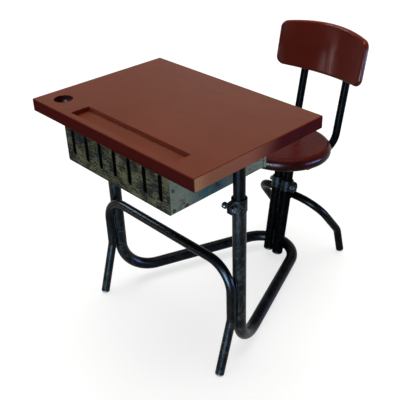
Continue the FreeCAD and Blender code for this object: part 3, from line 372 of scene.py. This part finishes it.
def seat_varnish(name, light, dark, rim, gloss, roughness):
    """Dark maroon gloss varnish with faint grain, in the rim colour where the wood turns down; on
    the seat that darker rim colour is painted shade.
    """
    look = Look(name)
    drift = look.noise(6, 3, 0.5, 0.6)
    grain = look.noise(70, 6, 0.6, 0.7, look.scaled(1, 0.05, 0.4))
    base = look.mix(look.range(drift, 0.36, 0.66), light, dark)
    deep = look.mix(0.5, dark, SEAT_GRAIN)
    base = look.mix(look.range(grain, 0.46, 0.72, 0, 0.35), base, deep)
    # Where the surface turns down it takes the rim colour; on the seat this is painted shade.
    turned = look.range(look.facing("Z"), 0.35, 0.9, 1, 0)
    base = look.mix(turned, base, look.mix(look.range(grain, 0.4, 0.6), rim, dark))
    edge = look.range(look.edge(SEAT_ARRIS), 0.02, 0.3)
    rub = look.times(edge, look.range(look.noise(30, 4, 0.6), 0.35, 0.62, 0.05, 0.5))
    base = look.mix(rub, base, SEAT_RUBBED)
    nicks = look.range(look.cells(160), 0.0, 0.09, 1, 0)
    nicks = look.times(nicks, look.range(look.noise(12), 0.56, 0.64))
    base = look.mix(look.times(nicks, 0.5), base, SEAT_NICKS)
    smear = look.noise(17, 5, 0.65, 0.8)
    rough = look.range(smear, 0.3, 0.7, roughness, roughness + 0.06)
    normal = look.bump(look.plus(grain, look.noise(240, 3)), 0.04, 0.0004)
    return look.finish(base, rough, normal, specular=gloss)


# The tubes' enamel

ENAMEL = (linear(5, 5, 8), linear(9, 9, 13))
ENAMEL_WORN = (linear(82, 98, 98), linear(78, 68, 54))
ENAMEL_STAIN = linear(84, 70, 56)
ENAMEL_CHIPS = linear(118, 118, 110)
ENAMEL_RUBBED = linear(150, 156, 168)
ENAMEL_TINT = (0.85, 0.92, 1.0, 1.0)

POST_BACK = (0.012, 0.04)            # the wear of the posts ends this far behind their middle
RUN_WEAR = 0.12                      # the share of it that the runs behind them keep
STAIN_LENGTH = 0.084                 # down from the clamp's lower edge
STAIN_END = 0.006                    # and up from it, to where it stops
STAIN_SIDE = (0.1, 0.2)              # only the right post has the stain
CLAMP_ARRIS = 0.0012


def clamp_stain(look, height):
    """High in a streaky run down the right post, below its clamp."""
    run = look.range(height, CLAMP_FOOT - STAIN_LENGTH, CLAMP_FOOT, 0, 1)
    run = look.times(run, look.range(height, CLAMP_FOOT, CLAMP_FOOT + STAIN_END, 1, 0))
    run = look.times(run, look.range(look.part("X"), *STAIN_SIDE))
    streaks = look.noise(110, 7, 0.72, 0.5, look.scaled(1, 1, 0.3))
    return look.times(run, look.range(streaks, 0.42, 0.62))


def black_enamel(name, patina, gloss=0.04, heights=None, posts_only=False, stain=0.0, rubbed=0.0):
    """Black stove enamel with a blue cast, gone grey-green where hands and shoes wear it.

    The wear grows from the upper of the two heights down to the lower one, or is even without
    them. Stain is the strength of the brown run below the right desk clamp, and rubbed that of
    the bright arrises.
    """
    look = Look(name)
    base = look.mix(look.range(look.noise(9, 4, 0.55, 0.4), 0.35, 0.65), *ENAMEL)
    height = look.part("Z")
    zone = look.range(height, *heights, 1, 0) if heights else 1.0
    if posts_only:
        first, last = (POST_Y + step for step in POST_BACK)
        zone = look.times(zone, look.range(look.part("Y"), first, last, 1, RUN_WEAR))
    patches = look.range(look.noise(44, 8, 0.72, 0.9), 0.46, 0.62)
    streaks = look.noise(150, 6, 0.66, 0.3, look.scaled(1, 1, 0.14))
    worn = look.most(patches, look.times(look.range(streaks, 0.5, 0.66), 0.7))
    worn = look.times(worn, zone, patina)
    tone = look.mix(look.range(look.noise(50, 4, 0.6), 0.4, 0.6), *ENAMEL_WORN)
    base = look.mix(worn, base, tone)
    if stain:
        base = look.mix(look.times(clamp_stain(look, height), stain), base, ENAMEL_STAIN)
    chips = look.range(look.noise(260, 6, 0.7, 0.4), 0.64, 0.68)
    chips = look.times(chips, look.range(look.noise(21, 3), 0.48, 0.6))
    chips = look.times(chips, look.plus(look.times(zone, 0.8), 0.2))
    base = look.mix(chips, base, ENAMEL_CHIPS)
    if rubbed:
        edge = look.range(look.edge(CLAMP_ARRIS), 0.02, 0.2)
        edge = look.times(edge, look.range(look.noise(120, 4, 0.6), 0.35, 0.6), rubbed)
        base = look.mix(edge, base, ENAMEL_RUBBED)
    rough = look.range(look.noise(34, 5, 0.6), 0.3, 0.7, 0.27, 0.35)
    rough = look.plus(rough, look.times(worn, 0.2))
    skin = look.plus(look.noise(320, 3, 0.5), look.times(look.noise(60, 3), 0.5))
    skin = look.minus(skin, look.times(look.plus(worn, chips), 0.6))
    look.shader.inputs["Specular Tint"].default_value = ENAMEL_TINT
    return look.finish(base, rough, look.bump(skin, 0.12, 0.0006), specular=gloss)


# The book box's paint

SHEET_SHADE_TEAL = linear(72, 122, 138)
SHEET_SPOT = linear(92, 50, 34)
SHEET_FINE = linear(58, 62, 54)
SHEET_BARE = linear(12, 10, 8)
SHEET_RUST = linear(74, 46, 30)
SHEET_RIM = linear(24, 14, 10)
SHEET_INSIDE_SHADE = linear(30, 31, 28)
SHEET_GLOSS = 0.02

SHADE_SHARE = 0.40                    # the painted shade's middle, as a share of the box's depth
SHADE_REACH = (0.02, 0.09)
SPOT_BACK = 0.045                    # the rust spot's place, from the box's lower front corner
SPOT_UP = 0.010
SPOT_REACH = (0.004, 0.009)
SPOT_RAGGED = 0.004
SHEET_ARRIS = 0.002
SHEET_ARRIS_WORN = 0.004             # added to it where the paint is scratched all over


def shade_and_spot(look, base, strength):
    """A teal painted shade halfway back on the box's sides, and a rust spot near their front."""
    low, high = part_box("book_box_shell")
    along = look.part("Y")
    middle = look.minus(along, low[1] + SHADE_SHARE * (high[1] - low[1]))
    near = look.range(look.maths("ABSOLUTE", middle), *SHADE_REACH, 1, 0)
    side_shade = look.times(near, look.range(look.noise(13, 5, 0.65, 0.6), 0.34, 0.56), strength)
    # The teal patch halfway back on the sides is painted shade.
    base = look.mix(side_shade, base, SHEET_SHADE_TEAL)
    from_y = look.minus(along, low[1] + SPOT_BACK)
    from_z = look.minus(look.part("Z"), low[2] + SPOT_UP)
    ragged = look.range(look.noise(90, 4, 0.6), 0.3, 0.7, -SPOT_RAGGED, SPOT_RAGGED)
    reach = look.plus(look.length(from_y, from_z), ragged)
    return look.mix(look.range(reach, *SPOT_REACH, 0.9, 0), base, SHEET_SPOT)


def sheet_inside(look):
    """High on the faces that look into the box, where painted shade goes."""
    inward = look.times(look.facing("X"), look.maths("SIGN", look.part("X")))
    inside = look.range(inward, -0.7, -0.3, 1, 0)
    inside = look.most(inside, look.range(look.facing("Z"), 0.3, 0.7))
    behind = look.range(look.facing("Y"), 0.3, 0.7)
    behind = look.times(behind, look.range(look.part("Y"), *FRONT_PANEL_BACK, 1, 0))
    return look.most(inside, behind)


def worn_sheet(name, light, shade, dirt, cover, side_shade=0.0):
    """Old grey-green paint on thin sheet, scratched through to dark steel in level strokes.

    Cover is the share that the strokes take, and the last argument the strength of a teal painted
    shade halfway back on the sides.
    """
    look = Look(name)
    base = look.mix(look.range(look.noise(8, 5, 0.6, 0.7), 0.34, 0.66), light, shade)
    warm = look.noise(9, 5, 0.65, 0.8, look.scaled(1, 1, 0.6, shift=(0.3, 0.1, 0.7)))
    base = look.mix(look.times(look.range(warm, 0.5, 0.66), 0.6), base, dirt)
    if side_shade:
        base = shade_and_spot(look, base, side_shade)
    fine = look.noise(110, 6, 0.72, 0.3)
    worn_tone = look.mix(0.6, shade, SHEET_FINE)
    base = look.mix(look.range(fine, 0.42, 0.7, 0, 0.45), base, worn_tone)
    level = look.noise(400, 4, 0.66, 0.3, look.scaled(0.09, 0.09))
    short = look.noise(520, 4, 0.66, 0.2, look.scaled(0.3, 0.3))
    denser = look.range(look.noise(24, 5, 0.65, 0.3), 0.3, 0.7, -0.12, 0.12, smooth=False)
    start = 0.66 - 0.3 * cover
    scratch = look.range(look.plus(level, denser), start, start + 0.03)
    ticks = look.range(look.plus(short, denser), start + 0.03, start + 0.06)
    bare = look.most(scratch, ticks)
    base = look.mix(look.times(bare, 0.95), base, SHEET_BARE)
    rust = look.range(look.noise(30, 6, 0.7, 0.6, look.scaled(1, 1, 0.6)), 0.6, 0.72)
    base = look.mix(look.times(rust, 0.5), base, SHEET_RUST)
    edge = look.range(look.edge(SHEET_ARRIS + SHEET_ARRIS_WORN * cover), 0.01, 0.16)
    rim = look.times(edge, look.range(look.noise(48, 4, 0.6), 0.3, 0.55, 0.4, 1))
    base = look.mix(rim, base, SHEET_RIM)
    # The faces inside the box are darkened with painted shade.
    base = look.mix(look.times(sheet_inside(look), 0.85), base, SHEET_INSIDE_SHADE)
    rough = look.range(bare, 0, 1, 0.5, 0.66)
    skin = look.minus(look.times(fine, 0.6), look.times(bare, 0.7))
    skin = look.plus(skin, look.times(look.noise(9, 2), 1.6))
    return look.finish(base, rough, look.bump(skin, 0.3, 0.0009), specular=SHEET_GLOSS)


# Screws, welds and plugs

STEEL_ARRIS = 0.0008
STEEL_RUST = linear(74, 48, 34)
STEEL_BRIGHT = linear(160, 165, 172)
WELD = linear(11, 11, 13)
WELD_SPOTS = linear(88, 84, 76)
PLUG = linear(17, 17, 18)
PLUG_DUST = linear(112, 106, 98)
DUST_HEIGHT = 0.012


def fastener_steel(name, dark, light):
    """Dull steel, rubbed brighter on its arrises, with patches of rust."""
    look = Look(name)
    base = look.mix(look.range(look.noise(130, 5, 0.6), 0.35, 0.65), dark, light)
    rust = look.range(look.noise(210, 5, 0.65), 0.56, 0.66)
    base = look.mix(look.times(rust, 0.55), base, STEEL_RUST)
    edge = look.range(look.edge(STEEL_ARRIS), 0.02, 0.25)
    base = look.mix(look.times(edge, 0.7), base, STEEL_BRIGHT)
    rough = look.range(look.noise(300, 4), 0.3, 0.7, 0.26, 0.46)
    return look.finish(base, rough, look.bump(look.noise(620, 4, 0.6), 0.2, 0.0003), metallic=0.85)


def weld_metal():
    """Enamelled weld beads: near black, with greyer spots where the enamel is off."""
    look = Look("weld_metal")
    spots = look.range(look.noise(300, 5, 0.66), 0.60, 0.66)
    spots = look.times(spots, look.range(look.noise(24, 3), 0.46, 0.58))
    base = look.mix(look.times(spots, 0.9), WELD, WELD_SPOTS)
    rough = look.range(spots, 0, 1, 0.3, 0.42)
    return look.finish(base, rough, look.bump(look.noise(700, 3), 0.35, 0.0004), specular=0.02)


def dull_plug():
    """Black plug, matt, dusty where it meets the floor."""
    look = Look("dull_plug")
    dust = look.range(look.noise(150, 5, 0.65), 0.45, 0.68)
    low = look.range(look.part("Z"), 0.0, DUST_HEIGHT, 1, 0)
    dust = look.times(dust, look.plus(look.times(low, 0.4), 0.15))
    base = look.mix(dust, PLUG, PLUG_DUST)
    rough = look.range(look.noise(260, 4), 0.3, 0.7, 0.5, 0.7)
    return look.finish(base, rough, look.bump(look.noise(900, 3, 0.6), 0.3, 0.0003), specular=0.35)


LOOKS = {
    "desktop": desktop_varnish("desktop_varnish", gloss=0.07, roughness=0.30),
    "desktop_edge": desktop_varnish("desktop_edge_varnish", gloss=0.006, roughness=0.62),
    # The seat's darker rim colour is painted shade on its turned-down edge.
    "seat": seat_varnish(
        "seat_varnish", light=linear(78, 21, 15), dark=linear(66, 16, 12), rim=linear(42, 8, 6),
        gloss=0.035, roughness=0.24,
    ),
    "backrest": seat_varnish(
        "backrest_varnish", light=linear(126, 50, 40), dark=linear(106, 38, 29),
        rim=linear(112, 38, 27), gloss=0.028, roughness=0.14,
    ),
    "frame": black_enamel(
        "black_enamel_frame", patina=0.8, gloss=0.055, heights=(0.10, 0.62), posts_only=True,
        stain=0.8,
    ),
    "leg": black_enamel("black_enamel_legs", patina=0.7, heights=(0.02, 0.36)),
    "chair": black_enamel("black_enamel_chair", patina=0.1, gloss=0.02),
    "back_tube": black_enamel("black_enamel_back_tubes", patina=0.08, gloss=0.004),
    "clamp": black_enamel("black_enamel_clamps", patina=0.8, rubbed=0.9),
    "box_side": worn_sheet(
        "worn_sheet_shell", light=linear(166, 182, 166), shade=linear(136, 158, 150),
        dirt=linear(136, 124, 88), cover=0.12, side_shade=0.9,
    ),
    "box_front": worn_sheet(
        "worn_sheet_front", light=linear(144, 146, 110), shade=linear(118, 126, 92),
        dirt=linear(104, 84, 54), cover=0.55,
    ),
    "steel": fastener_steel("fastener_steel", linear(84, 86, 92), linear(118, 120, 126)),
    "dark_steel": fastener_steel("blackened_steel", linear(30, 30, 34), linear(46, 46, 50)),
    "weld": weld_metal(),
    "plug": dull_plug(),
}

DRESSED = {
    "desktop": ("desktop",),
    "seat": ("seat",),
    "backrest": ("backrest",),
    "frame": ("main_frame_tube",),
    "leg": ("front_leg_arch",),
    "chair": (
        "rear_leg_arch", "desk_post_left", "desk_post_right", "desk_plate_left",
        "desk_plate_right",
    ),
    "back_tube": (
        "seat_socket_left", "seat_socket_right", "seat_bracket", "seat_tube_left",
        "seat_tube_right", "back_tube_left", "back_tube_right",
    ),
    "clamp": ("desk_clamp_left", "desk_clamp_right", "seat_clamp_left", "seat_clamp_right"),
    "box_side": ("book_box_shell",),
    "box_front": ("book_box_front", "book_box_rivets"),
    "steel": ("desk_plate_screws", "book_box_screws", "seat_screws", "backrest_screws"),
    "dark_steel": (
        "desk_clamp_nuts", "seat_clamp_nut", "desk_clamp_screw_left", "desk_clamp_screw_right",
        "seat_clamp_screw", "seat_set_screw",
    ),
    "plug": ("front_foot_caps", "rear_foot_caps", "socket_end_caps"),
}


def dress(piece, look):
    piece.data.materials.clear()
    piece.data.materials.append(LOOKS[look])


for look_name, dressed_nodes in DRESSED.items():
    for node_name in dressed_nodes:
        dress(nodes[node_name], look_name)


# Small pieces

def mesh_piece(name, form, look, body, smooth=True):
    mesh = bpy.data.meshes.new(name)
    form.to_mesh(mesh)
    form.free()
    mesh.polygons.foreach_set("use_smooth", [smooth] * len(mesh.polygons))
    piece = bpy.data.objects.new(name, mesh)
    scene.collection.objects.link(piece)
    dress(piece, look)
    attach(piece, body)
    return piece


SAME_POINT = 1e-7


def copied(node):
    """A closed copy of a node's mesh. The node holds the points of its arrises more than once."""
    form = bmesh.new()
    form.from_mesh(nodes[node].data)
    bmesh.ops.remove_doubles(form, verts=form.verts, dist=SAME_POINT)
    return form


def cut(form, tool, operation):
    """One mesh cut by, or kept within, another."""
    objects = []
    for part in (form, tool):
        mesh = bpy.data.meshes.new("cutting")
        part.to_mesh(mesh)
        part.free()
        item = bpy.data.objects.new("cutting", mesh)
        scene.collection.objects.link(item)
        objects.append(item)
    change = objects[0].modifiers.new("cut", "BOOLEAN")
    change.operation = operation
    change.solver = "EXACT"
    change.object = objects[1]
    bpy.context.view_layer.update()
    evaluated = objects[0].evaluated_get(bpy.context.evaluated_depsgraph_get())
    result = bmesh.new()
    result.from_mesh(evaluated.to_mesh())
    evaluated.to_mesh_clear()
    for item in objects:
        mesh = item.data
        bpy.data.objects.remove(item)
        bpy.data.meshes.remove(mesh)
    return result


# The desktop keeps its shape; its outer sides, arrises and underside get the duller varnish

RIM_WIDTH = 0.004
LEVEL = 0.98
UNDERSIDE = -0.5


def make_desktop():
    piece = mesh_piece("desktop_board", copied("desktop"), "desktop", "desk",
                       smooth=False)
    mesh = piece.data
    mesh.materials.append(LOOKS["desktop_edge"])
    low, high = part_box("desktop")
    for face in mesh.polygons:
        inside = all(low[k] + RIM_WIDTH < face.center[k] < high[k] - RIM_WIDTH for k in (0, 1))
        up = face.normal.z
        if up < LEVEL and not (inside and up > UNDERSIDE):
            face.material_index = 1
    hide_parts("desktop")


make_desktop()


# Welds: rippled beads swept along a path

BEAD_SIDES = 8
STEPS_A_RIPPLE = 4
RIPPLE_PITCH = 0.8                   # in radii of the bead
RIPPLE_DEPTH = 0.22
RIPPLE_START = 0.4
END_SHARE = 0.02
END_POWER = 0.25
NO_PATH = Vector((0.31, 0.52, 0.79))     # a direction in which no bead runs
ROUNDING = 1e-9
CIRCLE_POINTS = 28


def bead(form, path, radius, closed=False):
    """One bead along a list of points, thinner at its ends unless it is closed."""
    lengths = [0.0]
    for here, after in zip(path, path[1:] + path[:1] if closed else path[1:]):
        lengths.append(lengths[-1] + (after - here).length)
    total = lengths[-1]
    steps = max(3, round(total / (radius * RIPPLE_PITCH))) * STEPS_A_RIPPLE
    rings = []
    for step in range(steps if closed else steps + 1):
        reach = total * step / steps
        piece = max(k for k in range(len(lengths) - 1) if lengths[k] <= reach + ROUNDING)
        here, after = path[piece], path[(piece + 1) % len(path)]
        middle = here.lerp(after, (reach - lengths[piece]) / (after - here).length)
        side = (after - here).normalized().cross(NO_PATH).normalized()
        up = (after - here).normalized().cross(side)
        ripple = abs(math.sin(math.pi * step / STEPS_A_RIPPLE + RIPPLE_START))
        size = radius * (1 - RIPPLE_DEPTH + RIPPLE_DEPTH * ripple)
        if not closed:
            share = min(max(step / steps, END_SHARE), 1 - END_SHARE)
            size *= math.sin(math.pi * share) ** END_POWER
        ring = []
        for turn in range(BEAD_SIDES):
            angle = 2 * math.pi * turn / BEAD_SIDES
            spoke = side * math.cos(angle) + up * math.sin(angle)
            ring.append(form.verts.new(middle + spoke * size))
        rings.append(ring)
    join_rings(form, rings, closed)


def join_rings(form, rings, closed=False):
    """A skin over rings with equal numbers of points, with a face on each end unless closed."""
    for ring, following in zip(rings, rings[1:] + rings[:1] if closed else rings[1:]):
        for k in range(len(ring)):
            after = (k + 1) % len(ring)
            form.faces.new((ring[k], ring[after], following[after], following[k]))
    if not closed:
        form.faces.new(list(reversed(rings[0])))
        form.faces.new(rings[-1])


def circle(centre, first, second):
    angles = [2 * math.pi * k / CIRCLE_POINTS for k in range(CIRCLE_POINTS)]
    return [centre + first * math.cos(angle) + second * math.sin(angle) for angle in angles]


ARCH_BEAD = 0.0029
ARCH_WELD_BACK = 0.0123
ARCH_WELD_ASIDE = 0.0076
ARCH_WELD_FOOT = 0.176
ARCH_WELD_LENGTH = 0.108
SOCKET_BEAD = 0.0028
SOCKET_WELD_FORE = 0.0066
SOCKET_WELDS = ((0.004, 0.060), (0.120, 0.236))      # from and to, along the sockets
SADDLE_RADIUS = 0.0105
SADDLE_BEND = 0.07
RUN_SADDLE_BACK = 0.0177
BAR_SADDLE_FORE = 0.0127
RING_BEAD = 0.0022
RING_RADIUS = 0.0162
DESK_RING_Z = 0.6244
SEAT_RING = 0.333                    # along the sockets, from their foot


def saddle(x, y, z):
    """The closed path round the place where a socket touches a level tube behind it."""
    path = []
    for turned in circle(Vector(), Vector((SADDLE_RADIUS, 0, 0)), Vector((0, 0, SADDLE_RADIUS))):
        bend = (turned.z * turned.z - turned.x * turned.x) / SADDLE_BEND
        path.append(turned + Vector((x, y + bend + turned.z * math.tan(SOCKET_TILT), z)))
    return path


def make_frame_welds():
    form = bmesh.new()
    for side in (-1, 1):
        for aside in (-ARCH_WELD_ASIDE, ARCH_WELD_ASIDE):
            foot = Vector((side * POST_X + aside, ARCH_Y + ARCH_WELD_BACK, ARCH_WELD_FOOT))
            bead(form, [foot, foot + Vector((0, 0, ARCH_WELD_LENGTH))], ARCH_BEAD)
    up = Vector((0, math.sin(SOCKET_TILT), math.cos(SOCKET_TILT)))
    fore = Vector((0, -math.cos(SOCKET_TILT), math.sin(SOCKET_TILT)))
    for low, high in SOCKET_WELDS:
        for way in (-SOCKET_WELD_FORE, SOCKET_WELD_FORE):
            start = SOCKET_FOOT + fore * way
            bead(form, [start + up * low, start + up * high], SOCKET_BEAD)
    for x in (-SOCKET_X, SOCKET_X):
        run = saddle(x, SOCKET_FOOT.y + RUN_SADDLE_BACK, RUN_Z)
        bead(form, run, SOCKET_BEAD, closed=True)
        bar = saddle(x, REAR_BAR_Y - BAR_SADDLE_FORE, REAR_BAR_Z)
        bead(form, bar, SOCKET_BEAD, closed=True)
    mesh_piece("frame_welds", form, "weld", "frame")


def make_ring_welds(name, body, centres, tilt):
    """A bead round each of two tubes, where they meet a plate that is tilted about X."""
    form = bmesh.new()
    across = Vector((RING_RADIUS, 0, 0))
    along = Vector((0, math.cos(tilt), -math.sin(tilt))) * RING_RADIUS
    for centre in centres:
        bead(form, circle(centre, across, along), RING_BEAD, closed=True)
    mesh_piece(name, form, "weld", body)


make_frame_welds()
make_ring_welds(
    "desk_post_welds", "desk",
    [Vector((x, POST_Y, DESK_RING_Z)) for x in (-POST_X, POST_X)], 0,
)
SEAT_RING_UP = Vector((0, math.sin(SOCKET_TILT), math.cos(SOCKET_TILT))) * SEAT_RING
make_ring_welds(
    "seat_tube_welds", "chair",
    [SOCKET_FOOT + SEAT_RING_UP + Vector((x, 0, 0)) for x in (-SOCKET_X, SOCKET_X)], SEAT_TILT,
)


# Screws: a slot is cut across each head

SLOT_SIZE = (0.016, 0.0014, 0.0026)  # long, wide and, half of it above the head, deep
HEAD_END = 0.0006
FIRST_TURN = 0.7
NEXT_TURN = 1.9
MIDDLE_DIGITS = 4


def islands(form):
    """The separate solids in a mesh, as lists of vertices."""
    left = set(form.verts)
    found = []
    while left:
        group = [left.pop()]
        for vert in group:
            for edge in vert.link_edges:
                other = edge.other_vert(vert)
                if other in left:
                    left.remove(other)
                    group.append(other)
        found.append(group)
    return sorted(found, key=lambda group: [round(k, MIDDLE_DIGITS) for k in group_middle(group)])


def group_middle(group):
    low = [min(vert.co[k] for vert in group) for k in range(3)]
    high = [max(vert.co[k] for vert in group) for k in range(3)]
    return Vector([(a + b) / 2 for a, b in zip(low, high)])


def slotted_heads(node, outward, body):
    """A node of screws with a slot across the end of each head. Outward points out of them."""
    form = copied(node)
    tool = bmesh.new()
    for number, group in enumerate(islands(form)):
        top = max(vert.co.dot(outward) for vert in group)
        ends = [vert.co for vert in group if vert.co.dot(outward) > top - HEAD_END]
        end = sum(ends, Vector()) / len(ends)
        end += outward * (top - end.dot(outward))
        turn = Matrix.Rotation(FIRST_TURN + NEXT_TURN * number, 4, outward)
        cube = bmesh.ops.create_cube(tool, size=1.0)["verts"]
        upright = outward.to_track_quat("Z", "Y").to_matrix().to_4x4()
        place = Matrix.Translation(end) @ turn @ upright
        bmesh.ops.scale(tool, vec=SLOT_SIZE, verts=cube)
        bmesh.ops.transform(tool, matrix=place, verts=cube)
    piece = mesh_piece(node + "_slotted", cut(form, tool, "DIFFERENCE"), "steel", body,
                       smooth=False)
    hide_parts(node)


DOWN = Vector((0, 0, -1))
UNDER_SEAT = Vector((0, math.sin(SEAT_TILT), -1)).normalized()
BEHIND_BACK = Vector((0, math.cos(BACK_LEAN), -math.sin(BACK_LEAN)))
slotted_heads("desk_plate_screws", DOWN, "desk")
slotted_heads("book_box_screws", DOWN, "desk")
slotted_heads("seat_screws", UNDER_SEAT, "chair")
slotted_heads("backrest_screws", BEHIND_BACK, "chair")


# Nuts: their corners are turned off at each face

TURNED_SIDES = 48
TURNED_DEPTH = 0.0009
TURNED_SHARE = 0.87                  # the turned face's radius, of the radius over corners
CLEAR_SHARE = 1.002
CLEAR_END = 1e-5


def chamfered_nuts(node, axis, body):
    form = copied(node)
    tool = bmesh.new()
    side = axis.orthogonal().normalized()
    other = axis.cross(side)
    turns = [2 * math.pi * k / TURNED_SIDES for k in range(TURNED_SIDES)]
    for group in islands(form):
        middle = group_middle(group)
        spokes = [vert.co - middle for vert in group]
        along = [spoke.dot(axis) for spoke in spokes]
        reach = max((spoke - axis * spoke.dot(axis)).length for spoke in spokes)
        low, high = min(along), max(along)
        profile = (
            (low - CLEAR_END, reach * TURNED_SHARE),
            (low + TURNED_DEPTH, reach * CLEAR_SHARE),
            (high - TURNED_DEPTH, reach * CLEAR_SHARE),
            (high + CLEAR_END, reach * TURNED_SHARE),
        )
        rings = []
        for height, size in profile:
            centre = middle + axis * height
            spin = [side * math.cos(turn) + other * math.sin(turn) for turn in turns]
            rings.append([tool.verts.new(centre + spoke * size) for spoke in spin])
        join_rings(tool, rings)
    piece = mesh_piece(node + "_chamfered", cut(form, tool, "INTERSECT"), "dark_steel", body,
                       smooth=False)
    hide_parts(node)


chamfered_nuts("desk_clamp_nuts", Vector((1, 0, 0)), "frame")


# The stage: a pale floor with a far wall round it, a plain world and soft lamps

FLOOR_TONE = 0.42
FLOOR_LIFT = 0.70
FLOOR_RADIUS = 15.0
FLOOR_DROP = 0.0005                  # just below the feet
FLOOR_ROUGHNESS = 0.9
MOTTLE = 1.02
WALL_LIFT = 0.90
WALL_HEIGHT = 4.0
WALL_SIDES = 64
WORLD_LEVEL = 0.22


def grey(level):
    return (level, level, level, 1)


def pale_surface(name, lift):
    """A pale surface that camera, glossy and transmission rays see lifted to white."""
    look = Look(name)
    mottle = look.range(look.noise(1.5, 2), 0.3, 0.7)
    colour = look.mix(mottle, grey(FLOOR_TONE), grey(FLOOR_TONE * MOTTLE))
    look.finish(colour, FLOOR_ROUGHNESS, specular=0.0)
    rays = look.add("ShaderNodeLightPath")
    seen = look.most(rays.outputs["Is Camera Ray"], rays.outputs["Is Glossy Ray"])
    seen = look.most(seen, rays.outputs["Is Transmission Ray"])
    glow = look.add("ShaderNodeEmission")
    look.put(glow.inputs["Strength"], look.times(seen, lift))
    both = look.add("ShaderNodeAddShader")
    look.tree.links.new(look.shader.outputs[0], both.inputs[0])
    look.tree.links.new(glow.outputs[0], both.inputs[1])
    look.tree.links.new(both.outputs[0], look.out.inputs["Surface"])
    return look.material


def stage_piece(name, form, material):
    mesh = bpy.data.meshes.new(name)
    form.to_mesh(mesh)
    form.free()
    piece = bpy.data.objects.new(name, mesh)
    piece.location.z = -FLOOR_DROP
    scene.collection.objects.link(piece)
    piece.data.materials.append(material)


def make_stage():
    form = bmesh.new()
    bmesh.ops.create_grid(form, x_segments=1, y_segments=1, size=FLOOR_RADIUS)
    stage_piece("floor", form, pale_surface("pale_floor", FLOOR_LIFT))
    form = bmesh.new()
    bmesh.ops.create_circle(form, segments=WALL_SIDES, radius=FLOOR_RADIUS)
    rim = bmesh.ops.extrude_edge_only(form, edges=form.edges)["geom"]
    upper = [item for item in rim if isinstance(item, bmesh.types.BMVert)]
    bmesh.ops.translate(form, verts=upper, vec=(0, 0, WALL_HEIGHT))
    stage_piece("wall", form, pale_surface("pale_wall", WALL_LIFT))


def make_world():
    world = bpy.data.worlds.new("studio")
    scene.world = world
    world.use_nodes = True
    sky = world.node_tree.nodes["Background"]
    sky.inputs["Color"].default_value = (1, 1, 1, 1)
    sky.inputs["Strength"].default_value = WORLD_LEVEL


def area_lamp(name, place, target, size, power, colour):
    data = bpy.data.lights.new(name, "AREA")
    data.shape = "RECTANGLE"
    data.size, data.size_y = size
    data.energy = power
    data.color = colour
    lamp = bpy.data.objects.new(name, data)
    lamp.location = place
    lamp.rotation_mode = "QUATERNION"
    lamp.rotation_quaternion = (Vector(target) - Vector(place)).to_track_quat("-Z", "Y")
    lamp.visible_camera = False
    scene.collection.objects.link(lamp)
    return lamp


def sun_lamp(name, towards, strength, angle, colour):
    data = bpy.data.lights.new(name, "SUN")
    data.energy = strength
    data.angle = math.radians(angle)
    data.color = colour
    lamp = bpy.data.objects.new(name, data)
    lamp.rotation_mode = "QUATERNION"
    lamp.rotation_quaternion = Vector(towards).to_track_quat("-Z", "Y")
    scene.collection.objects.link(lamp)


# Each area lamp's name, place, target, width and height, power and colour
SOFT_LAMPS = (
    ("back_softbox", (-2.0, 2.6, 2.3), (0.0, 0.2, 0.5), (2.0, 1.6), 5, (1.0, 0.96, 0.93)),
    ("window", (3.1, -2.6, 2.0), (0.1, 0.0, 0.45), (0.6, 1.0), 8, (0.62, 0.8, 1.0)),
)
# These show only as reflections in glossy surfaces. Most stand lower than the desktop, which
# would mirror them
GLOSS_LAMPS = (
    ("low_front", (0.95, -1.9, 0.30), (0.2, -0.28, 0.28), (1.0, 0.7), 620, (0.45, 0.75, 1.0)),
    ("low_right", (1.9, 1.15, 0.30), (0.0, 0.0, 0.15), (1.2, 0.4), 210, (0.28, 0.42, 1.0)),
    ("near_bend", (0.565, -0.62, 0.525), (0.235, -0.278, 0.25), (0.16, 0.16), 9,
     (0.55, 0.85, 1.0)),
    ("left_high", (-1.6, -0.75, 2.1), (0.0, -0.28, 0.33), (0.4, 1.2), 180, (0.75, 0.88, 1.0)),
    ("pane_one", (-1.85, -2.55, 0.35), (0.0, 0.4, 0.65), (0.12, 0.5), 13, (1.0, 0.92, 0.95)),
    ("pane_two", (-2.25, -2.15, 0.35), (0.0, 0.4, 0.65), (0.12, 0.5), 13, (1.0, 0.92, 0.95)),
)

make_camera()
make_stage()
make_world()
sun_lamp("overhead", towards=(0.12, -0.10, -1.0), strength=2.2, angle=55, colour=(1.0, 0.98, 0.95))
for values in SOFT_LAMPS:
    area_lamp(*values)
for values in GLOSS_LAMPS:
    area_lamp(*values).visible_diffuse = False

scene.view_settings.view_transform = "Standard"
